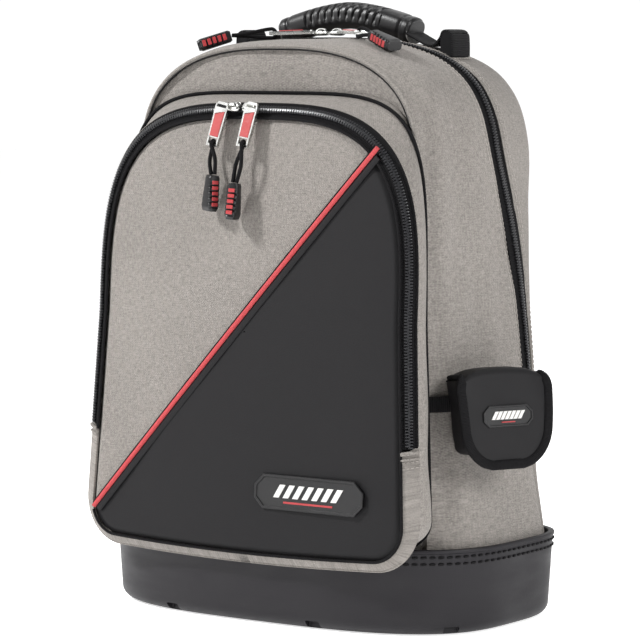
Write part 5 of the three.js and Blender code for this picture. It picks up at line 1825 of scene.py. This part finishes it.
@dataclass
class ZipPull:
    """One zip pull: slider, metal puller with its red insert, cord loop and ribbed rubber end.

    Places are (aside of the slider, down the face or forward on the top, lift off the cloth).
    """

    pocket: PocketForm
    name: str
    x: float
    on_bag: bool
    start: Place
    puller_end: Place
    end: Place
    tip: Place
    turn: float
    puller_length: float = 37.0
    puller_width: float = 12.5
    cord: float = 3.2
    cord_seat: float = 0.8
    end_length: float = 29.0
    end_width: float = 16.0
    end_depth: float = 10.0
    rib_pitch: float = 4.4

    def place(self, where: Place) -> Vec:
        """Returns a table place in the bag's frame."""
        aside, down, lift = where
        if self.on_bag:
            bag = self.pocket.bag
            y = bag.zip_y(0.5) - down
            return point(self.x + aside, y, bag.top_at(self.x + aside, y) + lift)
        z = self.pocket.top - down
        return point(self.x + aside, self.pocket.face_y(self.x + aside, z) - lift, z)

    def normal(self, place: Vec) -> Vec:
        """Returns the outward direction at a place."""
        return self.pocket.bag.top_normal(place[0], place[1]) if self.on_bag else FRONT

    def slider_placing(self) -> Placing:
        """Returns the slider's frame on the zip."""
        facing = math.copysign(1.0, self.start[0])
        if self.on_bag:
            bag = self.pocket.bag
            y = bag.zip_y(0.5)
            return Placing.along(point(self.x, y, bag.top_at(self.x, y) + 4.7), point(facing, 0, 0), UP)
        form = self.pocket
        share = abs(self.x) / (form.half_width - form.band / 2)
        quarter = math.acos(share ** (form.power / 2)) * 2 / math.pi
        q = 3 + quarter if self.x < 0 else 5 - quarter
        along = form.band_point(q + 0.01, 0.5) - form.band_point(q - 0.01, 0.5)
        normal = form.band_normal(q)
        return Placing.along(form.band_point(q, 0.5) + normal * 4.8, along * facing, normal)

    def cord_route(self, end: Placing, puller: Placing) -> list[Vec]:
        """Returns the loop's points, out of the rubber end, through the puller's eye and back.

        Args:
            end: the rubber end's frame.
            puller: the frame of the puller's eye.

        Returns:
            The points in order.
        """
        leg = puller.origin - end.origin
        along = unit(leg)
        side = unit(np.cross(along, puller.z))
        leg_normal = np.cross(side, along)
        puller_side = np.cross(puller.x, puller.z)
        end_side = np.cross(end.x, puller.z)

        def side_points(sign: int) -> list[Vec]:
            """Returns the points of one side of the loop."""
            points = []
            for share, past, across, lift in CORD_LOOP:
                if share == 0:
                    points.append(end.origin - end.x * self.cord_seat - end_side * sign * across
                                  + puller.z * sign * lift)
                elif share == 1:
                    points.append(puller.origin - puller.x * past - puller_side * sign * across
                                  + puller.z * sign * lift)
                else:
                    points.append(end.origin + along * share * np.linalg.norm(leg) + side * sign * across
                                  + leg_normal * sign * lift)
            return points

        return side_points(1) + side_points(-1)[:-1][::-1]

    def build(self) -> None:
        """Builds the whole pull, its cord first."""
        start, puller_end = self.place(self.start), self.place(self.puller_end)
        holder = Placing.along(start, puller_end - start, self.normal(start))
        eye = Placing(start + holder.x * self.puller_length, holder.x, holder.y, holder.z)
        low, tip = self.place(self.end), self.place(self.tip)
        end = Placing.along(low, tip - low, self.normal(tip))
        self.build_cord(Placing(low, unit(tip - low), end.y, end.z), eye)
        self.build_slider(self.slider_placing())
        self.build_puller(holder)
        self.build_end(end.turned(self.turn))

    def build_cord(self, end: Placing, eye: Placing) -> None:
        run = smooth_run(self.cord_route(end, eye), 1.5)
        shape = Shape()
        radius = self.cord / 2
        rings = []
        normal = eye.z
        for place, along in zip(run, directions(run)):
            normal = unit(normal - along * float(np.dot(normal, along)))
            rings.append(circle(place, np.cross(along, normal), normal, radius, 10))
        shape.add_loft(rings)
        piece = shape.make(f"{self.name}_loop", BLACK_BINDING, "pull_cord", 60)
        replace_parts(piece, f"{self.name}_cord")
        length = float(np.sum(np.linalg.norm(np.diff(run, axis=0), axis=1))) * MM
        log.info("cord %s is %.1f mm long", self.name, length / MM)

    def build_slider(self, placing: Placing) -> None:
        """Builds the slider with the bridge that holds the puller."""
        shape = Shape()
        rows = [(-6.5, 2.5, 1.2), (-5.6, 3.9, 1.7), (-3.0, 4.5, 2.0), (3.0, 4.1, 2.2), (5.6, 3.0, 1.8),
                (6.5, 2.2, 1.2)]
        shape.add_loft([placing.at([(x, a, b) for a, b in round_section(half, tall, 16, 3)])
                        for x, half, tall in rows])
        arch = ((-4.6, 0, 1.4), (-3.6, 0, 3.0), (0, 0, 3.7), (3.6, 0, 3.0), (4.6, 0, 1.4))
        bridge = smooth_run([placing.at(p) for p in arch], 0.8)
        shape.add_rod(list(bridge), [placing.z] * len(bridge), 1.5, 0.6, 8, 3)
        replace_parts(shape.make(f"{self.name}_slider_dressed", BRIGHT_ZINC, "pull_metal"),
                    f"{self.name}_slider")

    def build_puller(self, placing: Placing) -> None:
        """Builds the metal frame and its red insert.

        Args:
            placing: the puller's frame, with X along it.
        """
        length, half = self.puller_length, self.puller_width / 2
        thick = 1.5

        def plate(outline: Section, low: float = -thick, high: float = thick,
                  bevel: float = 0.35) -> list[Vec]:
            """Returns the rings of a flat plate with bevelled edges."""
            middle = np.mean(np.array(outline), axis=0)
            rings = []
            for z, inset in ((low, bevel), (low + bevel, 0.0), (high - bevel, 0.0), (high, bevel)):
                ring = []
                for x, y in outline:
                    away = np.array((x, y)) - middle
                    x2, y2 = middle + away * (1 - inset / max(abs(away).max(), 1e-6))
                    ring.append((x2, y2, z))
                rings.append(placing.at(ring))
            return rings

        metal = Shape()
        bar = 1.5
        for hand in (-1, 1):
            metal.add_loft(plate([(1.5, hand * (half - bar)), (1.5, hand * half * 0.92), (4, hand * half),
                                  (length, hand * half * 0.86), (length, hand * (half * 0.86 - bar)),
                                  (8, hand * (half - bar))]))
        metal.add_loft(plate([(0, -half * 0.7), (2.4, -half * 0.85), (2.4, half * 0.85), (0, half * 0.7)]))
        metal.add_loft(plate([(4.6, -half + 1), (10.6, -half + 1), (7.4, half - 1), (4.6, half - 1)],
                             high=thick + 0.3))
        for start, end, share in ((length - 2.0, length, 0.8), (length - 8.4, length - 7.0, 0.84)):
            reach = half * share
            metal.add_loft(plate([(start, -reach), (end, -reach), (end, reach), (start, reach)]))
        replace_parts(metal.make(f"{self.name}_frame", BRIGHT_ZINC, "pull_metal"), f"{self.name}_puller")
        red = Shape()
        inner = half - bar - 0.3
        red.add_loft(plate([(10.8, -inner), (length - 8.0, -inner * 0.93), (length - 8.0, inner * 0.93),
                            (7.6, inner)], -thick + 0.4, thick + 0.7, 0.7))
        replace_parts(red.make(f"{self.name}_inlay", RED_INLAY, "pull_insert"), f"{self.name}_insert")

    def end_half(self, share: float) -> float:
        """Returns the rubber end's half width at a share of its length."""
        swell = mix(0.62, 1.0, smooth(share, 0.0, 0.85))
        return self.end_width / 2 * swell * (1 - 0.12 * smooth(share, 0.88, 1.0))

    def build_end(self, placing: Placing) -> None:
        """Builds the rubber end: a tapered black body with grooves, and red ribs down both sides.

        Args:
            placing: the end's frame, with X along it.
        """
        black, red = Shape(), Shape()
        rings = []
        for share in evenly(0, 1, 80):
            x = share * self.end_length
            half = self.end_half(share)
            swell = mix(0.8, 1.0, smooth(share, 0, 0.08))
            tall = self.end_depth / 2 * swell * (1 - 0.2 * smooth(share, 0.88, 1.0))
            wave = max(0.0, math.sin(2 * math.pi * (x + 1.2) / self.rib_pitch))
            groove = 1.9 * wave * smooth(share, 0.15, 0.2) * (1 - smooth(share, 0.86, 0.92))
            ring = []
            for a, b in round_section(half, tall, 24, 4):
                reach = smooth(abs(a) / half, 0.55, 0.95)
                ring.append((x, a * (1 - groove / half * reach), b))
            rings.append(placing.at(ring))
        black.add_loft(rings)
        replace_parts(black.make(f"{self.name}_rubber", GRIP_RUBBER, "grip_rubber", 50), f"{self.name}_end")
        for index in range(5):
            x = 5.5 + index * self.rib_pitch
            half = self.end_half(x / self.end_length)
            for hand in (-1, 1):
                side = hand * (half - 0.5)
                red.add_block(placing, (x - 1.5, min(side, side + hand * 0.9), -2.7),
                              (x + 1.5, max(side, side + hand * 0.9), 2.7), 0.25)
        red.make(f"{self.name}_red_ribs", RED_RUBBER, "grip_rubber")


@dataclass
class SidePouch:
    """The flapped pouch that hangs on a webbing strap on the right side."""

    bag: BagForm
    width: float = 88.0
    top: float = 212.0
    flap_bottom: float = 135.0
    body_bottom: float = 144.0
    depth: float = 27.0
    turn: float = 26.0
    tilt: float = 6.0
    y: float = -54.0
    stand_off: float = 12.7
    taper: float = 6.0
    corner: float = 27.0
    bend: float = 7.0
    droop: float = 8.0
    body_drop: float = 5.0
    shoulder: tuple[float, float] = (9.0, 16.0)
    cloth: float = 2.0
    flap_gap: float = 0.3
    foot_radius: float = 7.0
    strap_width: float = 13.0
    strap_height: float = 185.0
    strap_rear: float = 26.0
    back_inset: float = 1.2

    @property
    def middle(self) -> float:
        """Returns the height of the pouch's own middle."""
        return (self.top + self.flap_bottom) / 2

    def placing(self) -> Placing:
        """Returns the pouch's frame: X across it, -Y outward and Z up, from the middle of its back."""
        turn = Matrix.Rotation(math.radians(90 - self.turn), 3, "Z")
        tilt = Matrix.Rotation(math.radians(-self.tilt), 3, "X")
        x, y, z = (np.array((turn @ tilt).col[i]) for i in range(3))
        out = self.bag.leg_width(self.bag.arch(self.y), self.middle) + self.stand_off
        return Placing(point(out, self.y, self.middle), x, y, z)

    def narrowing(self, z: float) -> float:
        """Returns how far each side has drawn in at a height."""
        top, bottom = self.top - self.middle, self.flap_bottom - self.middle
        return self.taper * clamp((top - z) / (top - bottom))

    def body(self, placing: Placing) -> None:
        """Builds the open body with its rounded foot and soft side gussets.

        Args:
            placing: the pouch's frame.
        """
        shape = Shape()
        low = self.body_bottom - self.middle
        high = self.top - self.middle - self.cloth - 1.6 - self.body_drop
        foot = self.foot_radius

        def ring(inset: float, z: float) -> Vec:
            """Returns one ring of the body, its sides pulled in between the corners."""
            points = []
            half_width = self.width / 2 - 3 - self.narrowing(z) - inset
            for across, lift in round_section(half_width, self.depth / 2 - 1.2 - inset, 60, 5):
                near_side = smooth(abs(across), self.width / 4, self.width / 2)
                pull = 1.8 * bell(lift, 0, self.depth / 5) * near_side
                points.append((across - math.copysign(pull, across), lift - self.depth / 2, z))
            return placing.at(points)

        rings = [ring(foot * (1 - math.sin(a)), low + foot * (1 - math.cos(a)))
                 for a in evenly(0, math.pi / 2, 6)]
        rings += [ring(0.4 * math.sin(z / 6), z) for z in evenly(low + 9, high - 2, 12)]
        rings += [ring(0.6, high), ring(self.cloth, high - 0.3), ring(self.cloth, low + 9),
                  ring(self.cloth + 5, low + 3)]
        shape.add_loft(rings)
        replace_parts(shape.make("pouch_body_dressed", BLACK_COATED, "black_cloth"), "pouch_body")

    def flap_line(self) -> tuple[Section, Callable[[float], float]]:
        """Returns the flap's route from back to foot and its half width at a height."""
        top, bottom = self.top - self.middle, self.flap_bottom - self.middle
        front = -self.depth - self.flap_gap - self.cloth
        bend, corner = self.bend, self.corner
        route = [(-1.5, top - 0.6), (-5.0, top + 0.4), (-9.0, top + 0.8)]
        route += [(front + bend - bend * math.sin(a), top - bend + bend * math.cos(a))
                  for a in evenly(0, math.pi / 2, 8)]
        route += [(front - 1.6 * math.sin(math.pi * share), mix(top - bend, bottom, share))
                  for share in evenly(0, 1, 34)[1:]]

        def half(z: float) -> float:
            """Returns the flap's half width at a height."""
            share = clamp((bottom + corner - z) / corner)
            inward, height = self.shoulder
            up = clamp((z - top + height) / height)
            return (self.width / 2 - self.narrowing(z) - corner * (1 - math.sqrt(1 - (share * 0.985) ** 2))
                    - inward * (1 - math.sqrt(1 - (up * 0.985) ** 2)))

        return route, half

    def flap(self, placing: Placing) -> None:
        """Builds the flap, its edge binding and its badge.

        Args:
            placing: the pouch's frame.
        """
        route, half = self.flap_line()
        top, bottom = self.top - self.middle, self.flap_bottom - self.middle
        shape = Shape()
        shares = [signed_power(s, 0.8) for s in evenly(-1, 1, 30)]

        def on_flap(share: float, y: float, z: float, lift: float = 0.0) -> Place:
            """Returns a point of the flap, whose upper corners hang down round the body."""
            sag = 0.45 * math.sin(share * 5 + z / 9) * smooth(z, bottom, bottom + 30)
            hang = self.droop * abs(share) ** 4 * smooth(z, top - 30, top)
            return share * half(z), y + 1.4 * share ** 4 * (1 if y < -20 else 0.3) + sag - lift, z - hang

        grid = [[placing.at(on_flap(share, y, z)) for share in shares] for y, z in route]
        shape.add_sheet(np.array(grid), self.cloth)
        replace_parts(shape.make("pouch_flap_dressed", BLACK_COATED, "black_cloth"), "pouch_flap")
        ends = [(-0.95, y, z) for y, z in route[1:-1]]
        foot = [(share, *route[-1]) for share in evenly(-0.9, 0.9, 12)]
        other_ends = [(-share, y, z) for share, y, z in ends[::-1]]
        edge = [placing.at(on_flap(*place)) for place in [*ends, *foot, *other_ends]]

        def outward(place: Vec) -> Vec:
            """Returns the flap's outward direction, which turns from up to forward round the fold."""
            local = np.array([np.dot(place - placing.origin, axis) for axis in (placing.y, placing.z)])
            fold = np.array((-self.depth + self.bend, top - self.bend))
            away = np.clip(np.array((fold[0] - local[0], local[1] - fold[1])), 0.0, None)
            return unit(-placing.y * (away[0] + 1e-3) + placing.z * away[1])

        binding = Shape()
        run = smooth_run(edge, 2.0)
        binding.add_rod(list(run), [outward(place) for place in run], 4.0, 1.9, 12, 3.4)
        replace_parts(binding.make("pouch_edge_binding", BLACK_BINDING, "webbing"), "pouch_binding")
        front = -self.depth - self.flap_gap - self.cloth - 1.8
        facing = Placing(placing.at((0, front, 0)), placing.x, placing.z, -placing.y)
        Badge(facing, 46, 17, "pouch_badge_dressed", "pouch_badge", rim=1.3, thickness=1.4).build()

    def strap(self, placing: Placing) -> None:
        """Builds the webbing out of the front seam, behind the pouch and back to the bag's side.

        Args:
            placing: the pouch's frame.
        """
        bag = self.bag
        out = 0.8 + 0.4 + self.strap_width / 2 * math.sin(math.radians(self.tilt)) - self.back_inset
        reach = self.width / 2

        def on_side(y: float) -> Vec:
            """Returns a place on the bag's side."""
            x = bag.leg_width(bag.arch(round(y, 3)), self.strap_height - self.strap_width / 2) + 2.4
            return point(x, y, self.strap_height)

        def behind(x: float) -> Vec:
            """Returns a place behind the pouch."""
            place = placing.at((x, out, self.strap_height - self.middle))
            return point(place[0], place[1], self.strap_height)

        run = smooth_run([on_side(bag.front_seam + 1), on_side(bag.front_seam + 7),
                          on_side(bag.front_seam + 14),
                          behind(-0.7 * reach), behind(0), behind(0.7 * reach), behind(reach),
                          on_side(self.strap_rear - 12), on_side(self.strap_rear)], 3.0)
        normals = [unit(np.cross(along, UP)) for along in directions(run)]
        shape = Shape()
        shape.add_rod(list(run), normals, self.strap_width / 2, 0.9, 12, 5)
        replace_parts(shape.make("pouch_carrier", BLACK_WEBBING, "webbing"), "pouch_strap")

    def build(self) -> None:
        """Builds the pouch."""
        placing = self.placing()
        self.body(placing)
        self.flap(placing)
        self.strap(placing)


class Lamp(NamedTuple):
    """One soft light: its place and size in metres and its power in watts."""

    name: str
    place: Place
    size: float
    power: float


LAMPS = (
    Lamp("key_left", (-1.7, -1.9, 2.4), 0.4, 115),
    Lamp("front_card", (-2.2, -3.1, 0.7), 2.2, 14),
    Lamp("fill_right", (2.9, -0.4, 1.5), 1.4, 66),
    Lamp("top", (0.2, 0.5, 2.9), 1.4, 20),
)


@dataclass
class Studio:
    """The camera at the photograph's angle, the pale floor and the soft lights."""

    azimuth: float = 35.3
    focal: float = 182.8
    distance: float = 2736.0
    eye_height: float = 470.0
    pixels: int = 640
    origin_pixel: float = 346.0
    horizon_pixel: float = 45.0
    room_level: float = 0.1
    paper_level: float = 1.05
    floor_glow: float = 0.7
    floor_reach: float = 9.0
    floor_drop: float = 0.0005

    def camera(self) -> None:
        """Places the camera."""
        turn = math.radians(self.azimuth)
        right = point(math.cos(turn), math.sin(turn), 0)
        ahead = point(-math.sin(turn), math.cos(turn), 0)
        pixels_focal = self.focal / 36 * self.pixels
        aside = (self.origin_pixel - self.pixels / 2) / pixels_focal * self.distance
        place = -ahead * self.distance - right * aside + UP * self.eye_height
        data = bpy.data.cameras.new("photo_camera")
        data.lens = self.focal
        data.sensor_width = 36
        data.clip_end = 50
        camera = bpy.data.objects.new("photo_camera", data)
        bpy.context.collection.objects.link(camera)
        camera.location = place * MM
        # The eye is level with the top of the bag, and the camera looks down to the bag's middle.
        pitch = math.atan((self.pixels / 2 - self.horizon_pixel) / pixels_focal)
        camera.rotation_euler = (math.pi / 2 - pitch, 0, turn)
        bpy.context.scene.camera = camera

    def light(self, name: str, place: Sequence[float], size: float, power: float) -> None:
        """Adds one soft area light that faces the bag."""
        data = bpy.data.lights.new(name, "AREA")
        data.shape = "SQUARE"
        data.size = size
        data.energy = power
        lamp = bpy.data.objects.new(name, data)
        bpy.context.collection.objects.link(lamp)
        lamp.location = place
        lamp.rotation_euler = (Vector((0, -0.05, 0.25)) - Vector(place)).to_track_quat("-Z", "Y").to_euler()

    def backdrop(self) -> None:
        """Adds the surroundings: a brightly lit paper behind the bag in a dim room."""
        turn = math.radians(self.azimuth)
        world = bpy.data.worlds.new("studio_world")
        world.use_nodes = True
        tree = world.node_tree
        direction = add_node(tree, "ShaderNodeTexCoord").outputs["Generated"]
        inputs = {0: direction, 1: (-math.sin(turn), math.cos(turn), 0.0)}
        behind = add_node(tree, "ShaderNodeVectorMath", inputs, operation="DOT_PRODUCT").outputs["Value"]
        level = remap(tree, behind, self.room_level, self.paper_level, 0.2, 0.8)
        paper = tree.nodes["Background"]
        paper.inputs["Color"].default_value = (1, 1, 1, 1)
        tree.links.new(level, paper.inputs["Strength"])
        bpy.context.scene.world = world

    def build(self) -> None:
        """Builds camera, floor, lights and surroundings."""
        self.camera()
        mesh = bpy.data.meshes.new("studio_floor")
        reach = self.floor_reach
        corners = [(-reach, -reach, 0), (reach, -reach, 0), (reach, reach, 0), (-reach, reach, 0)]
        mesh.from_pydata(corners, [], [(0, 1, 2, 3)])
        floor = bpy.data.objects.new("studio_floor", mesh)
        bpy.context.collection.objects.link(floor)
        floor.location.z = -self.floor_drop
        pale = Finish("lit_acrylic_floor", "#f4f4f4", 0.9).material()
        # The floor is pale acrylic lit from below, which keeps it near white.
        glow = pale.node_tree.nodes["Principled BSDF"]
        glow.inputs["Emission Color"].default_value = (1, 1, 1, 1)
        glow.inputs["Emission Strength"].default_value = self.floor_glow
        mesh.materials.append(pale)
        for lamp in LAMPS:
            self.light(*lamp)
        self.backdrop()
        bpy.context.scene.view_settings.view_transform = "Standard"


class PullRow(NamedTuple):
    """Where one pull hangs: its slider along X, and four places and a turn as ZipPull reads them."""

    name: str
    x: float
    on_bag: bool
    start: Place
    puller_end: Place
    end: Place
    tip: Place
    turn: float


PULLS = (
    PullRow("pocket_left", -17.0, False, start=(-6.9, 0.0, 6.5), puller_end=(-14.3, 37.5, 11.6),
            end=(-11.0, 59.0, 12.8), tip=(-14.0, 89.0, 12.1), turn=25.0),
    PullRow("pocket_right", -1.0, False, start=(6.7, 0.0, 6.4), puller_end=(1.0, 37.5, 12.5),
            end=(-4.0, 65.0, 13.8), tip=(-6.0, 98.0, 12.9), turn=76.0),
    PullRow("main_left", -8.0, True, start=(-7.1, 2.0, 5.8), puller_end=(-42.0, 16.0, 5.8),
            end=(-66.0, 38.0, 8.0), tip=(-90.0, 56.0, 8.0), turn=0.0),
    PullRow("main_right", 8.0, True, start=(6.8, 2.6, 5.8), puller_end=(38.0, 22.0, 6.1),
            end=(64.0, 42.0, 8.2), tip=(91.0, 49.0, 8.2), turn=0.0),
)


def main() -> None:
    """Builds the studio and every sub-assembly in order and reports each one."""
    logging.basicConfig(level=logging.INFO, format="%(name)s: %(message)s")
    bag = BagForm()
    pocket = PocketForm(bag)
    compartment = MainCompartment(bag)
    assemblies: list[tuple[str, object]] = [("studio", Studio())]
    assemblies += [(row.name + " pull", ZipPull(pocket, *row)) for row in PULLS]
    assemblies += [
        ("base", BaseTub(bag.tub)),
        ("main compartment", compartment),
        ("main zip", MainZip(compartment)),
        ("front pocket", FrontPocket(pocket)),
        ("pocket zip", PocketZip(pocket)),
        ("carry handle", CarryHandle(bag)),
        ("shoulder straps", ShoulderStraps(bag)),
        ("side pouch", SidePouch(bag)),
    ]
    for name, assembly in assemblies:
        before = set(bpy.data.objects)
        assembly.build()
        made = [o for o in bpy.data.objects if o not in before and o.type == "MESH"]
        log.info("%s: %d pieces, %d faces", name, len(made), sum(len(o.data.polygons) for o in made))


if __name__ == "__main__":
    main()
